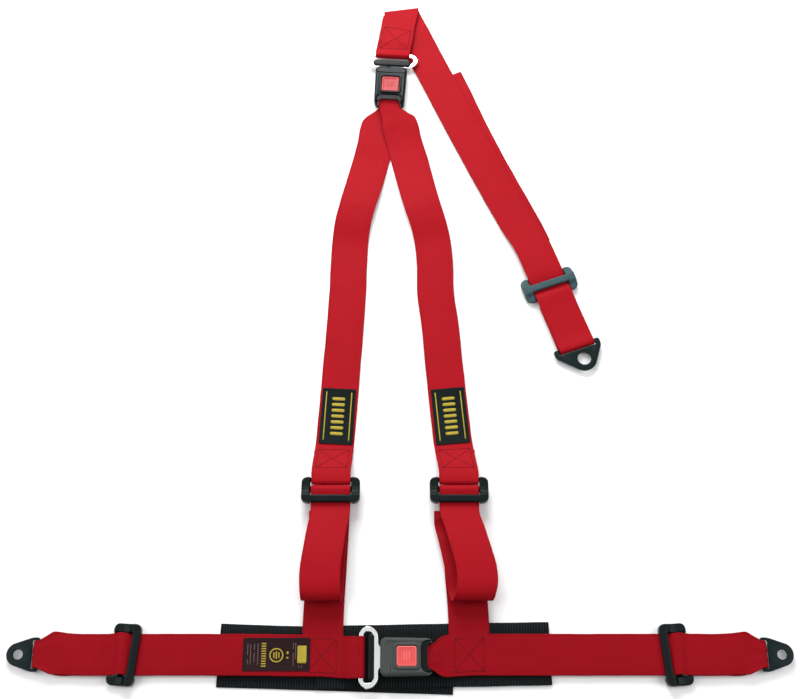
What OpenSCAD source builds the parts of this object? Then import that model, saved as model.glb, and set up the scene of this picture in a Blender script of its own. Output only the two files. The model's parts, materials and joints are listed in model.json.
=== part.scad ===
// Four-strap racing harness, laid flat: two lap belts, two shoulder belts and a rear belt,
// with push-button buckles on the lap and behind the neck. Millimetres, +Z up, +Y towards the rear belt.

/* [Webbing] */
// Width of every red belt
web_w = 50; // [44:1:60]
// Thickness of one layer of webbing
web_t = 1.3; // [1:0.1:1.8]
// Free space kept between layers that slide on each other
gap = 0.35; // [0.3:0.05:0.6]

/* [Layout] */
// Distance from the middle to each lap anchor hole
lap_reach = 464; // [420:1:560]
// Distance from the middle to each lap adjuster
lap_adjuster_x = 335; // [320:1:345]
// Distance of the shoulder adjusters above the lap line
shoulder_adjuster_y = 204; // [190:1:240]
// Distance of the top buckle above the lap line
top_buckle_y = 809; // [760:1:880]
// Distance of the rear belt's fold above the lap line
fold_y = 946; // [910:1:980]
// Distance from the rear adjuster to the rear anchor hole
rear_reach = 116; // [108:1:150]

/* [Adjusters] */
// Width of a three-bar adjuster across the belt
adjuster_w = 74.5; // [70:0.5:84]
// Length of a three-bar adjuster along the belt
adjuster_l = 34; // [32:1:40]
// Width of the thick front bar
bar_w = 10; // [8:0.5:11]

/* [Anchor plates] */
// Thickness of the anchor plates
plate_t = 3; // [2.5:0.1:3.2]
// Radius of the lap bolt holes
lap_hole_r = 6; // [5:0.25:7]
// Radius of the rear bolt hole
rear_hole_r = 9; // [7:0.25:9.5]
// Radius of the rounded end around each lap bolt hole
plate_tip_r = 14; // [13.5:0.5:17]
// Radius of the rounded end around the rear bolt hole
rear_tip_r = 17; // [16:0.5:19]
// Belt width where it bunches in a lap plate
bunched_w = 32; // [28:1:40]

/* [Buckles] */
// Length of a buckle
buckle_l = 64; // [60:1:72]
// Width of a buckle
buckle_w = 47; // [45:1:56]
// Height of a buckle above its tongue
buckle_up = 10.5; // [10.5:0.1:13]
// Depth of a buckle below its tongue
buckle_down = 8; // [8:0.1:10]
// Side of the square push button
button_w = 24; // [20:0.5:26]
// Travel of the push button
button_travel = 3.2; // [2:0.1:3.4]
// Width of the tongue's ring
ring_w = 74.5; // [72:0.5:84]
// Thickness of the tongue
tongue_t = 2.2; // [1.8:0.1:2.4]

/* [Pads and label] */
// Length of a lap pad
pad_l = 286; // [260:1:320]
// Width of a lap pad
pad_w = 76; // [70:1:84]
// Thickness of a lap pad
pad_t = 1.6; // [1.2:0.1:2]
// Width of a shoulder patch across its belt
patch_w = 44; // [36:1:44]
// Length of a shoulder patch along its belt
patch_l = 77; // [60:1:90]
// Length of the approval label along the lap belt
label_l = 82; // [60:1:90]
// Width of the approval label
label_w = 40; // [30:1:44]

/* [Hidden] */

$fn = 48;
cut = 1;                 // how far a cut runs past a face
half_web = web_t / 2;
touch = 0.02;            // space left between parts that lie against each other

// Heights of the belts' middle surfaces, stacked up from the floor.
left_pad_z = pad_t / 2;
right_pad_z = pad_t + gap + pad_t / 2;
lower_z = 2 * pad_t + 2 * gap + half_web;
lap_z = lower_z + web_t;
left_shoulder_z = gap + half_web;
right_shoulder_z = left_shoulder_z + web_t + gap;
label_t = 0.6;
tail_floor_z = lap_z + half_web + label_t + gap + half_web;
rear_tail_z = half_web;
rear_z = rear_tail_z + web_t + gap;
lap_buckle_z = 2 * pad_t + 2 * gap + buckle_down;
top_buckle_z = buckle_down;

// The three-bar adjuster, about the belt that runs through it along X at z = 0.
bar_up = 6.2;            // top of the thick bar
rail_down = 5;           // underside of the side rails
slot_w = web_w + 4;      // opening for the belt
lip = half_web + gap;    // nearest that a bar comes to the belt's middle
shoulder_adjuster_z = tail_floor_z + half_web + gap + rail_down + 0.4;

under_bar = 5.5;         // width of the bars below the belt

// Travel of the lap and rear adjusters along their belts, either way.
lap_travel = 50;
rear_travel = 40;

// Where the hardware lies, above the lap line at y = 0.
lap_buckle_x = 8;
lap_buckle_y = -4;
top_buckle_x = -14;
top_buckle_turn = -93.4;
left_belt_x = -88;       // shoulder belts at their adjusters
right_belt_x = 75;
left_sewn_x = -94;       // shoulder belts where they are sewn to the lap belts
right_sewn_x = 84;
label_x = -150;
patch_y = 307;
adjuster_tilt = 5;       // lean of the lap adjusters across their belts
fold_lean = 24.4;        // lean of the rear belt below its fold
rear_lean = 19.6;        // lean of the rear belt at its adjuster
rear_x = 203;
rear_y = fold_y - 451;

// The buckle, about the middle of its button: the tongue enters from -X, the belt leaves at +X.
shell_wall = 1.8;
mouth_x = -buckle_l / 2;
blade_end = 5;
blade_w = 24;
blade_play = 1.7;
window_x = -13;          // hole in the blade that the latch holds
window_l = 9;
window_w = 13;
frame_w = 34;
frame_t = 1.5;
belt_bar_x = buckle_l / 2 - 8;
belt_bar_r = 3.4;
buckle_belt_w = frame_w - 2 * frame_t - 2;
button_drop = button_travel + 0.2;       // depth of the button's cap
button_top = buckle_up - 0.4;
skirt = 3;               // how much wider the button is inside the case
ear_y = blade_w / 2 + blade_play - 0.3;  // outer face of the latch's ears
skirt_y = max(button_w + skirt, 2 * ear_y + 0.1);  // a narrow button still covers both ears
leaf_t = 0.9;            // thickness of the latch
leaf_z = -buckle_down + shell_wall + frame_t + 0.2;
spring_wire = 0.3;       // radius of the springs' wire
screw_spots = [mouth_x + 7.5, buckle_l / 2 - 20];
screw_y = buckle_w / 2 - 4;
screw_rise = 4;          // how far a screw reaches above the tongue's middle
ring_out = mouth_x - 26; // far edge of the tongue's ring
ring_bar = 5.4;          // width of the ring's outer bar
ring_bar_x = ring_out + ring_bar / 2;
ring_slot = 13;
ring_side = 6.5;         // metal at each end of the ring's slot
ring_corner = 5;
eye_w = min(web_w, ring_w - 2 * ring_side - 1.4 * ring_corner);  // a wide belt gathers in the slot
insert_lap = 2.8;        // how far the lining covers the plate
bar_eye = belt_bar_r + 0.5 + web_t;      // outside of the belt's eye round the buckle's bar
buckle_eye_r = belt_bar_r + 0.5 + half_web;
tongue_eye_r = norm([ring_bar, tongue_t]) / 2 + gap + half_web;

// The anchor plates, about their bolt holes.
plate_bar = 5;           // width of the bar that carries the belt
plate_eye_r = norm([plate_bar, plate_t]) / 2 + gap + half_web;
plate_end = 3;           // how far a plate runs on past the slot's ends
lap_bar_x = 23;
lap_slot = 3.8;
rear_bar_x = 19.5;
rear_bar_y = 3.2;        // the rear hole isn't quite on the belt's middle line
rear_slot = 3.4;

// The frame's origin is under the middle of the whole harness.
fold_rise = 8.2;         // slope of the fold line
fold_x = 2;
fold_w = 1.03 * web_w;   // the belt measured along the fold line
top_edge_y = fold_y + web_t + gap + web_w / 2 * sin(fold_rise) / cos(8 + fold_rise);
pad_turn = -1.8;
pad_x = -78;
bottom_edge_y = -4.5 - pad_w / 2 * cos(pad_turn) + pad_l / 2 * sin(pad_turn);
mid_y = (top_edge_y + bottom_edge_y) / 2;

red = "#c1202b";
dark_red = "#9c141f";
black = "#10201f";
steel = "#c9cccf";
chrome = "#e9ebee";
grey = "#5b6264";
button_red = "#d8454a";

// Shared shapes -----------------------------------------------------------------------------

function unit(v) = v / norm(v);
function ahead(p, i) = [for (k = [0:2]) p[min(i + 1, len(p) - 1)][k] - p[max(i - 1, 0)][k]];

// A band of webbing along points [x, y, z, width, heading of its right edge].
module ribbon(path, thick = web_t) {
    corners = [for (i = [0:len(path) - 1])
        let (p = path[i],
             side = [cos(p[4]), sin(p[4]), 0],
             up = unit(cross(side, unit(ahead(path, i)))),
             mid = [p[0], p[1], p[2]])
        each [mid - side * p[3] / 2 - up * thick / 2, mid + side * p[3] / 2 - up * thick / 2,
              mid + side * p[3] / 2 + up * thick / 2, mid - side * p[3] / 2 + up * thick / 2]];
    last = 4 * (len(path) - 1);
    walls = [for (i = [0:len(path) - 2], k = [0:3])
        let (a = 4 * i + k, b = 4 * i + (k + 1) % 4)
        each [[a, b, b + 4], [a, b + 4, a + 4]]];
    polyhedron(corners, concat(walls,
        [[2, 1, 0], [3, 2, 0], [last, last + 1, last + 2], [last, last + 2, last + 3]]));
}

// A flat stretch of belt, as points on its middle line [x, y], each with its height.
function heading_at(p, i) = let (d = ahead([for (q = p) [q[0], q[1], 0]], i)) atan2(d[1], d[0]) - 90;

module belt(points, width = web_w) {
    ribbon([for (i = [0:len(points) - 1])
        let (p = points[i])
        [p[0], p[1], p[2], len(p) > 3 ? p[3] : width, heading_at(points, i)]]);
}

// A belt bent back around a bar at x = 0, with both layers running on towards +X.
function eye_path(radius, spread, run, near_w, far_w) = concat(
    [[run, 0, spread, far_w, -90], [run * 0.6, 0, spread, far_w, -90]],
    [for (a = [50:26:310]) [radius * cos(a), 0, radius * sin(a), near_w, -90]],
    [[run * 0.6, 0, -spread, far_w, -90], [run, 0, -spread, far_w, -90]]);

module rounded(size, r) {
    square([size[0] - 2 * r, size[1]], center = true);
    square([size[0], size[1] - 2 * r], center = true);
    for (x = [-1, 1], y = [-1, 1])
        translate([x * (size[0] / 2 - r), y * (size[1] / 2 - r)]) circle(r);
}

// A block with rounded upright edges from z = low to z = high.
module block(size, r, low, high) {
    translate([0, 0, low]) linear_extrude(high - low) rounded(size, r);
}

// A bar across the belt, from x = low to high, with rounded edges.
module cross_bar(x_low, x_high, z_low, z_high, length, r) {
    translate([(x_low + x_high) / 2, 0, (z_low + z_high) / 2]) rotate([90, 0, 0])
        linear_extrude(length, center = true) rounded([x_high - x_low, z_high - z_low], r);
}

module coil(radius, length, turns) {
    wire = spring_wire;
    sides = 6;
    steps = 14;
    count = turns * steps;
    rings = [for (i = [0:count], k = [0:sides - 1])
        let (turn = 360 * i / steps, a = 360 * k / sides, r = radius - wire + wire * cos(a))
        [r * cos(turn), r * sin(turn), wire + (length - 2 * wire) * i / count + wire * sin(a)]];
    walls = [for (i = [0:count - 1], k = [0:sides - 1])
        let (a = sides * i + k, b = sides * i + (k + 1) % sides)
        each [[a, b + sides, b], [a, a + sides, b + sides]]];
    polyhedron(rings, concat(walls, [[for (k = [0:sides - 1]) k]],
        [[for (k = [sides - 1:-1:0]) sides * count + k]]));
}

// Three-bar adjuster ------------------------------------------------------------------------

// over is the bar above the belt and under the bars below it, each from x = low to high.
module adjuster(over, under) {
    half_l = adjuster_l / 2;
    rail_w = (adjuster_w - slot_w) / 2;
    rail_y = (slot_w + rail_w) / 2;
    low_end = 1.6;       // height of a rail where it carries no bar
    shoulder = 2.4;
    rest = over[1] < half_l ? [[half_l, low_end], [over[1] + 5, shoulder]] : [];
    color(black) {
        for (s = [-1, 1]) translate([0, s * rail_y, 0])
            intersection() {
                rotate([90, 0, 0]) linear_extrude(rail_w, center = true)
                    polygon(concat([[-half_l, -rail_down], [half_l, -rail_down]], rest,
                        [[over[1], bar_up], [over[0], bar_up], [over[0] - 5, shoulder],
                         [-half_l, low_end]]));
                translate([0, -s * rail_y, 0])
                    block([adjuster_l, adjuster_w], 7, -rail_down - cut, bar_up + cut);
            }
        cross_bar(over[0], over[1], lip, bar_up, slot_w + 2, 2);
        for (u = under) cross_bar(u[0], u[1], -rail_down, -lip, slot_w + 2, 1.5);
    }
}

// The thick bar lies across the belt at the +X end.
module end_bar_adjuster() {
    half_l = adjuster_l / 2;
    adjuster([half_l - bar_w, half_l], [[-half_l, under_bar - half_l], [-5, 2]]);
}

// The thick bar lies across the belt in the middle.
module middle_bar_adjuster() {
    half_l = adjuster_l / 2;
    adjuster([-bar_w / 2, bar_w / 2], [[-half_l, under_bar - half_l], [half_l - under_bar, half_l]]);
}

// Anchor plates -----------------------------------------------------------------------------

// The bolt hole is at the origin and the belt's bar lies towards +X, its middle at y = bar_y.
module anchor_plate(bar_x, bar_y, wide, belt_wide, hole_r, tip_r, slot) {
    back = bar_x + plate_bar / 2;
    front = back - plate_bar - slot - plate_end;
    corner = 2;
    steps = 24;
    function ear(s) = [[front, bar_y + s * (wide / 2 - 1)], [front + 4, bar_y + s * wide / 2],
        [back - corner, bar_y + s * wide / 2], [back, bar_y + s * (wide / 2 - corner)]];
    // Where a straight edge from an ear meets the round tip.
    function meets(s) = let (p = ear(s)[0]) atan2(p[1], p[0]) + s * acos(tip_r / norm(p));
    turn = 360 + meets(-1) - meets(1);
    tip = [for (i = [0:steps]) let (a = meets(1) + turn * i / steps) tip_r * [cos(a), sin(a)]];
    color(black) difference() {
        translate([0, 0, -plate_t / 2]) linear_extrude(plate_t)
            polygon(concat([for (i = [3:-1:0]) ear(1)[i]], tip, ear(-1)));
        cylinder(h = plate_t + 2 * cut, r = hole_r, center = true);
        translate([bar_x - plate_bar / 2 - slot / 2, bar_y])
            block([slot, belt_wide + 2], 1.5, -plate_t, plate_t);
    }
}

// Buckle pieces -----------------------------------------------------------------------------

// Outline of the case seen from above, drawn in towards the belt's end.
module case_outline(inset) {
    l = buckle_l / 2 - inset;
    w = buckle_w / 2 - inset;
    intersection() {
        rounded([2 * l, 2 * w], 6);
        polygon([[-l, -w + 1.5], [-l + 12, -w], [l - 16, -w], [l, -w + 5],
                 [l, w - 5], [l - 16, w], [-l + 12, w], [-l, w - 1.5]]);
    }
}

module tongue_way(play) {
    translate([mouth_x - cut, -blade_w / 2 - play, -tongue_t / 2 - 0.5])
        cube([buckle_l / 2 + blade_end + cut, blade_w + 2 * play, tongue_t + 1]);
}

module belt_way() {
    translate([belt_bar_x - 7, -buckle_belt_w / 2 - 3, -buckle_down + shell_wall])
        cube([buckle_l / 2, buckle_belt_w + 6, buckle_down - shell_wall + 6]);
}

module upper_shell() {
    slope = 3.2;
    difference() {
        intersection() {
            linear_extrude(buckle_up) case_outline(0);
            rotate([90, 0, 0]) linear_extrude(buckle_w + cut, center = true)
                polygon([[mouth_x, 0], [mouth_x, buckle_up - slope], [mouth_x + 9, buckle_up],
                         [buckle_l / 2 - 14, buckle_up], [buckle_l / 2, buckle_up - slope],
                         [buckle_l / 2, 0]]);
        }
        translate([0, 0, -cut]) linear_extrude(buckle_up - shell_wall - slope / 2 + cut)
            case_outline(shell_wall);
        block([button_w + 2 * gap, button_w + 2 * gap], 3, 0, buckle_up + cut);
        block([button_w + skirt + 1, skirt_y + 1], 3, 0, buckle_up - shell_wall);
        tongue_way(blade_play);
        belt_way();
    }
}

module lower_shell() {
    difference() {
        translate([0, 0, -buckle_down]) linear_extrude(buckle_down - touch) case_outline(0);
        translate([0, 0, -buckle_down + shell_wall]) linear_extrude(buckle_down) case_outline(shell_wall);
        tongue_way(blade_play);
        belt_way();
    }
}

module buckle_frame() {
    floor_z = -buckle_down + shell_wall + 0.1;
    color(steel) difference() {
        union() {
            translate([mouth_x + 4, -frame_w / 2, floor_z])
                cube([belt_bar_x - 8 - mouth_x - 4, frame_w, frame_t]);
            for (s = [-1, 1]) translate([mouth_x + 4, s * (frame_w - frame_t) / 2 - frame_t / 2, floor_z])
                cube([belt_bar_x + 1 - mouth_x, frame_t, -floor_z + belt_bar_r + 0.4]);
            translate([belt_bar_x, 0, 0]) rotate([90, 0, 0])
                cylinder(h = frame_w, r = belt_bar_r, center = true);
        }
        tongue_way(blade_play - 0.2);
    }
}

// Spring-steel leaf: its tooth holds the tongue's window and its two ears meet the button.
module latch() {
    tooth_l = 4.5;
    ear_top = button_top - button_drop - gap;
    color(steel) {
        translate([window_x + 1, -ear_y, leaf_z]) cube([24, 2 * ear_y, leaf_t]);
        translate([window_x + window_l - tooth_l - 0.6, -window_w / 2 + 1, leaf_z])
            cube([tooth_l, window_w - 2, tongue_t / 2 - leaf_z + 0.8]);
        for (s = [-1, 1]) translate([-2, s * (ear_y - leaf_t / 2) - leaf_t / 2, leaf_z])
            cube([5, leaf_t, ear_top - leaf_z]);
    }
}

module push_button() {
    color(button_red) {
        block([button_w, button_w], 2.6, button_top - button_drop, button_top);
        block([button_w + skirt, skirt_y], 3, button_top - button_drop, buckle_up - shell_wall - 0.2);
    }
}

module button_spring() {
    bottom = tongue_t / 2 + 0.9;
    color(steel) translate([blade_end + 4, 0, bottom])
        coil(3, button_top - button_drop - 0.1 - bottom, 3);
}

module ejector() {
    color("#30383a") translate([blade_end + 0.4, -7, -tongue_t / 2])
        cube([3, 14, tongue_t + 0.4]);
}

module ejector_spring() {
    color(steel) translate([blade_end + 3.6, 0, 0]) rotate([0, 90, 0])
        coil(2, belt_bar_x - bar_eye - blade_end - 4.2, 5);
}

module shell_screws() {
    for (x = screw_spots, s = [-1, 1])
        color(steel) translate([x, s * screw_y, -buckle_down + 0.6]) {
            cylinder(h = 1, r = 1.9);
            cylinder(h = buckle_down + screw_rise - 0.6, r = 0.9);
        }
}

module screw_holes() {
    for (x = screw_spots, s = [-1, 1])
        translate([x, s * screw_y, -buckle_down - cut]) {
            cylinder(h = cut + 1.62, r = 2.1);
            cylinder(h = buckle_down + screw_rise + 0.6 + cut, r = 1);
        }
}

module tongue() {
    plate_l = mouth_x - 1.5 - ring_out;
    color(chrome) translate([0, 0, -tongue_t / 2]) difference() {
        linear_extrude(tongue_t) {
            translate([ring_out + plate_l / 2, 0]) rounded([plate_l, ring_w], plate_l / 2 - 0.1);
            translate([mouth_x - 8, -blade_w / 2]) square([8 + blade_end - mouth_x - 3, blade_w]);
            translate([blade_end - 6, 0]) rounded([12, blade_w], 3);
        }
        translate([ring_out + ring_bar + ring_slot / 2, 0])
            block([ring_slot, ring_w - 2 * ring_side], ring_corner, -cut, tongue_t + cut);
        translate([window_x, -window_w / 2, -cut]) cube([window_l, window_w, tongue_t + 2 * cut]);
    }
}

// Plastic lining on the buckle side of the tongue's slot: a web inside the slot, a flange on each face.
module tongue_insert() {
    edge = ring_out + ring_bar + ring_slot;
    web = 3.2;
    face = tongue_t / 2 + touch;
    color(black) {
        translate([edge - touch - web / 2, 0]) block([web, ring_w - 24], 0.6, -face - 0.5, face + 0.5);
        for (low = [-3, face])
            translate([edge + (insert_lap - web) / 2, 0])
                block([web + insert_lap, ring_w - 16], 2.8, low, low + 3 - face);
    }
}

// Places ------------------------------------------------------------------------------------

module at_origin() { translate([0, -mid_y, 0]) children(); }
module at_lap_buckle() { at_origin() translate([lap_buckle_x, lap_buckle_y, lap_buckle_z]) children(); }
module at_top_buckle() {
    at_origin() translate([top_buckle_x, top_buckle_y, top_buckle_z])
        rotate([0, 0, top_buckle_turn]) children();
}
module at_rear() {
    at_origin() translate([rear_x, rear_y, lap_z]) rotate([0, 0, rear_lean - 90]) children();
}
// side is -1 for the left, 1 for the right; +X runs from the anchor to the middle.
module at_lap_side(side, x) {
    at_origin() translate([side * x, 0, lap_z]) rotate([0, 0, side < 0 ? 0 : 180]) children();
}

// Rear belt ---------------------------------------------------------------------------------

function rear_point(d, z) = [rear_x + d * sin(rear_lean), rear_y - d * cos(rear_lean), z];
function buckle_point(x) = [
    top_buckle_x + x * cos(top_buckle_turn), top_buckle_y + x * sin(top_buckle_turn)];
buckle_heading = 90 + top_buckle_turn;

module rear_strap() {
    bar = buckle_point(ring_bar_x);
    run = [fold_x - bar[0], fold_y - bar[1]];
    lean = atan2(run[1], run[0]) - 90;
    function along(t, z, turn) = [bar[0] + run[0] * t, bar[1] + run[1] * t, z, web_w, turn];
    loop = [for (a = [150:-30:-150])
        concat(buckle_point(ring_bar_x + tongue_eye_r * cos(a)),
            [top_buckle_z - tongue_eye_r * sin(a), eye_w, buckle_heading])];
    color(red) at_origin() ribbon(concat(
        [along(0.36, top_buckle_z - 1.2, (lean + buckle_heading) / 2)], loop,
        [along(0.36, top_buckle_z + 1.2, (lean + buckle_heading) / 2),
         along(0.72, 6.4, lean), along(0.93, 5.2, lean)],
        [[fold_x, fold_y + web_t * 0.6, 5, fold_w, fold_rise],
         [fold_x, fold_y + web_t, 4, fold_w, fold_rise],
         [fold_x, fold_y + web_t * 0.6, rear_z + 0.3, fold_w, fold_rise]],
        [[20, fold_y - 42, rear_z, web_w, fold_lean],
         [96, fold_y - 208, rear_z, web_w, fold_lean],
         [160, fold_y - 350, rear_z, web_w, fold_lean - 0.4],
         concat(rear_point(-62, lap_z), [web_w, rear_lean]),
         concat(rear_point(56, lap_z), [web_w, rear_lean])]));
}

module rear_strap_tail() {
    color(red) at_origin() belt([
        [66.5, fold_y - 116, rear_tail_z], [105, fold_y - 208, rear_tail_z],
        [162.7, fold_y - 338, rear_tail_z], [185.5, fold_y - 390, rear_tail_z]]);
}

module rear_anchor_loop() {
    start = adjuster_l / 2 + rear_travel / 2 + 2;
    bar = rear_reach - rear_bar_x;
    color(red) at_rear() translate([bar, 0, 0]) rotate([0, 0, 180])
        ribbon(eye_path(plate_eye_r, web_t + gap, bar - start, web_w, web_w));
}

module rear_adjuster() { at_rear() middle_bar_adjuster(); }

module rear_anchor_plate() {
    at_rear() translate([rear_reach, rear_bar_y, 0]) rotate([0, 0, 180])
        anchor_plate(rear_bar_x, rear_bar_y, web_w + 15, web_w, rear_hole_r, rear_tip_r, rear_slot);
}

// Top buckle --------------------------------------------------------------------------------

module top_tongue() { at_top_buckle() tongue(); }
module top_tongue_insert() { at_top_buckle() tongue_insert(); }
module top_upper_shell() { color(black) at_top_buckle() difference() { upper_shell(); screw_holes(); } }
module top_lower_shell() { color(black) at_top_buckle() difference() { lower_shell(); screw_holes(); } }
module top_frame() { at_top_buckle() buckle_frame(); }
module top_latch() { at_top_buckle() latch(); }
module top_button() { at_top_buckle() push_button(); }
module top_button_spring() { at_top_buckle() button_spring(); }
module top_ejector() { at_top_buckle() ejector(); }
module top_ejector_spring() { at_top_buckle() ejector_spring(); }
module top_shell_screws() { at_top_buckle() shell_screws(); }

// Shoulder belts ----------------------------------------------------------------------------

// The right belt loops round the buckle's bar; the left one leaves under it.
module right_shoulder_strap() {
    bar = buckle_point(belt_bar_x);
    turn = 180 + buckle_heading;
    loop = [for (a = [-140:28:140])
        concat(buckle_point(belt_bar_x - buckle_eye_r * cos(a)),
            [top_buckle_z + buckle_eye_r * sin(a), buckle_belt_w, turn])];
    color(red) at_origin() ribbon(concat(
        [concat(buckle_point(belt_bar_x + 8), [top_buckle_z - 2.2, buckle_belt_w, turn])], loop,
        [concat(buckle_point(belt_bar_x + 8), [top_buckle_z + 1.4, buckle_belt_w, turn]),
         [bar[0] + 5, bar[1] - 25, 5.6, web_w - 8, 184],
         [bar[0] + 12, bar[1] - 54, right_shoulder_z, web_w, 192],
         [14, fold_y - 262, right_shoulder_z, web_w, 195],
         [27, fold_y - 312, right_shoulder_z, web_w, 196],
         [45.5, fold_y - 378, right_shoulder_z, web_w, 189],
         [48.5, fold_y - 450, right_shoulder_z, web_w, 183],
         [58.2, 387, right_shoulder_z, web_w, 185],
         [65.7, 300, right_shoulder_z, web_w, 185],
         [70, shoulder_adjuster_y + 60, right_shoulder_z, web_w, 185],
         [right_belt_x - 1, shoulder_adjuster_y + 24, shoulder_adjuster_z, web_w, 181],
         [right_belt_x, shoulder_adjuster_y - 4, shoulder_adjuster_z, web_w, 180]]));
}

module left_shoulder_strap() {
    bar = buckle_point(belt_bar_x);
    color(red) at_origin() ribbon([
        concat(buckle_point(belt_bar_x + 7),
            [top_buckle_z - 4.9, buckle_belt_w - 4, 180 + buckle_heading]),
        [bar[0] - 7, bar[1] - 25, 2, web_w - 8, 176],
        [bar[0] - 13, bar[1] - 54, left_shoulder_z, web_w - 2, 168],
        [-43, fold_y - 262, left_shoulder_z, web_w, 166],
        [-55, fold_y - 318, left_shoulder_z, web_w, 166],
        [-66.5, fold_y - 360, left_shoulder_z, web_w, 172],
        [-71.5, 470, left_shoulder_z, web_w, 177],
        [-82, 300, left_shoulder_z, web_w, 177],
        [-85, shoulder_adjuster_y + 60, left_shoulder_z, web_w, 178],
        [left_belt_x, shoulder_adjuster_y + 24, shoulder_adjuster_z, web_w, 179],
        [left_belt_x, shoulder_adjuster_y - 4, shoulder_adjuster_z, web_w, 180]]);
}

module patch(x, z, turn) {
    color("#0d1f1c") at_origin() translate([x, patch_y, z + half_web + touch]) rotate([0, 0, turn])
        block([patch_w, patch_l], 1.5, 0, 0.8);
}
module left_shoulder_patch() { patch(-81.6, left_shoulder_z, -3); }
module right_shoulder_patch() { patch(65.6, right_shoulder_z, 5.2); }

module shoulder_adjuster(x) {
    at_origin() translate([x, shoulder_adjuster_y, shoulder_adjuster_z]) rotate([0, 0, -90])
        end_bar_adjuster();
}
module left_shoulder_adjuster() { shoulder_adjuster(left_belt_x); }
module right_shoulder_adjuster() { shoulder_adjuster(right_belt_x); }

module lower_strap(top_x, sewn_x) {
    color(dark_red) at_origin() belt([
        [sewn_x, -web_w / 2 + 3, lower_z], [sewn_x, web_w, lower_z],
        [top_x, shoulder_adjuster_y - 30, lower_z], [top_x, shoulder_adjuster_y + 12, lower_z]]);
}
module left_lower_strap() { lower_strap(left_belt_x, left_sewn_x); }
module right_lower_strap() { lower_strap(right_belt_x, right_sewn_x); }

// The free end comes out in front of the adjuster, drops in a round bight and turns back up.
module strap_tail(x, front_x, back_x) {
    start = shoulder_adjuster_y - adjuster_l / 2 + 1;
    bight_y = 80;
    bight_z = tail_floor_z + 11;
    bight_r = 11;
    bight = [for (a = [75:-25:-75])
        [front_x + (back_x - front_x) * (75 - a) / 300,
         bight_y - bight_r * 1.5 * cos(a), bight_z + bight_r * sin(a), web_w, 0]];
    color(dark_red) at_origin() ribbon(concat(
        [[x, start, shoulder_adjuster_z, web_w, 0], [x, start - 16, shoulder_adjuster_z, web_w, 0],
         [(x + front_x) / 2, 140, shoulder_adjuster_z + 5, web_w, 0],
         [front_x, bight_y + 20, bight_z + bight_r - 0.4, web_w, 0]],
        bight,
        [[(front_x + 2 * back_x) / 3, bight_y + 20, tail_floor_z + 0.2, web_w, 0],
         [back_x, start - 9, tail_floor_z, web_w, 0]]));
}
module left_strap_tail() { strap_tail(left_belt_x, -98, -90); }
module right_strap_tail() { strap_tail(right_belt_x, 94, 68); }

// Lap belts ---------------------------------------------------------------------------------

strap_end = lap_reach - lap_bar_x - lap_travel / 2 - 7;

module left_lap_strap() {
    bar = lap_buckle_x + ring_bar_x;
    loop = [for (a = [30:30:330])
        [bar - tongue_eye_r * cos(a), lap_buckle_y, lap_buckle_z + tongue_eye_r * sin(a), eye_w, 90]];
    color(dark_red) at_origin() ribbon(concat(
        [[-strap_end, 0, lap_z, web_w, 90], [-220, 0, lap_z, web_w, 90],
         [left_sewn_x + 24, lap_buckle_y / 2, lap_z, web_w, 90],
         [bar - 9, lap_buckle_y, lap_buckle_z + 1.6, web_w, 90]],
        loop,
        [[bar - 9, lap_buckle_y, lap_buckle_z - 1.6, web_w, 90]]));
}

module right_lap_strap() {
    bar = lap_buckle_x + belt_bar_x;
    loop = [for (a = [-150:30:150])
        [bar - buckle_eye_r * cos(a), lap_buckle_y, lap_buckle_z + buckle_eye_r * sin(a),
         buckle_belt_w, -90]];
    color(dark_red) at_origin() ribbon(concat(
        [[bar + 9, lap_buckle_y, lap_buckle_z - 1.8, buckle_belt_w, -90]], loop,
        [[bar + 10, lap_buckle_y, lap_buckle_z + 0.6, buckle_belt_w + 2, -90],
         [bar + 26, lap_buckle_y / 2, lap_z + 2, web_w - 6, -90],
         [bar + 36, 0, lap_z, web_w, -90], [220, 0, lap_z, web_w, -90],
         [strap_end, 0, lap_z, web_w, -90]]));
}

module lap_anchor_loop(side) {
    bar = lap_reach - lap_bar_x;
    start = lap_adjuster_x + adjuster_l / 2 + lap_travel / 2 + 5;
    color(dark_red) at_lap_side(side, bar)
        ribbon(eye_path(plate_eye_r, web_t + gap, bar - start, bunched_w, web_w));
}
module left_anchor_loop() { lap_anchor_loop(-1); }
module right_anchor_loop() { lap_anchor_loop(1); }

module lap_adjuster(side) {
    at_lap_side(side, lap_adjuster_x) rotate([0, 0, side * adjuster_tilt]) end_bar_adjuster();
}
module left_lap_adjuster() { lap_adjuster(-1); }
module right_lap_adjuster() { lap_adjuster(1); }

module lap_anchor_plate(side) {
    at_lap_side(side, lap_reach)
        anchor_plate(lap_bar_x, 0, bunched_w + 9, bunched_w, lap_hole_r, plate_tip_r, lap_slot);
}
module left_anchor_plate() { lap_anchor_plate(-1); }
module right_anchor_plate() { lap_anchor_plate(1); }

module lap_pad(x, y, z, turn) {
    color("#14171a") at_origin() translate([x, y, z]) rotate([0, 0, turn])
        block([pad_l, pad_w], 1.5, -pad_t / 2, pad_t / 2);
}
module left_lap_pad() { lap_pad(pad_x, -4.5, left_pad_z, pad_turn); }
module right_lap_pad() { lap_pad(40, -0.5, right_pad_z, 1); }

module approval_label() {
    color("#241c20") at_origin() translate([label_x, 0, lap_z + half_web])
        block([label_l, label_w], 1.5, 0, label_t);
}

// Lap buckle --------------------------------------------------------------------------------

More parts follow.
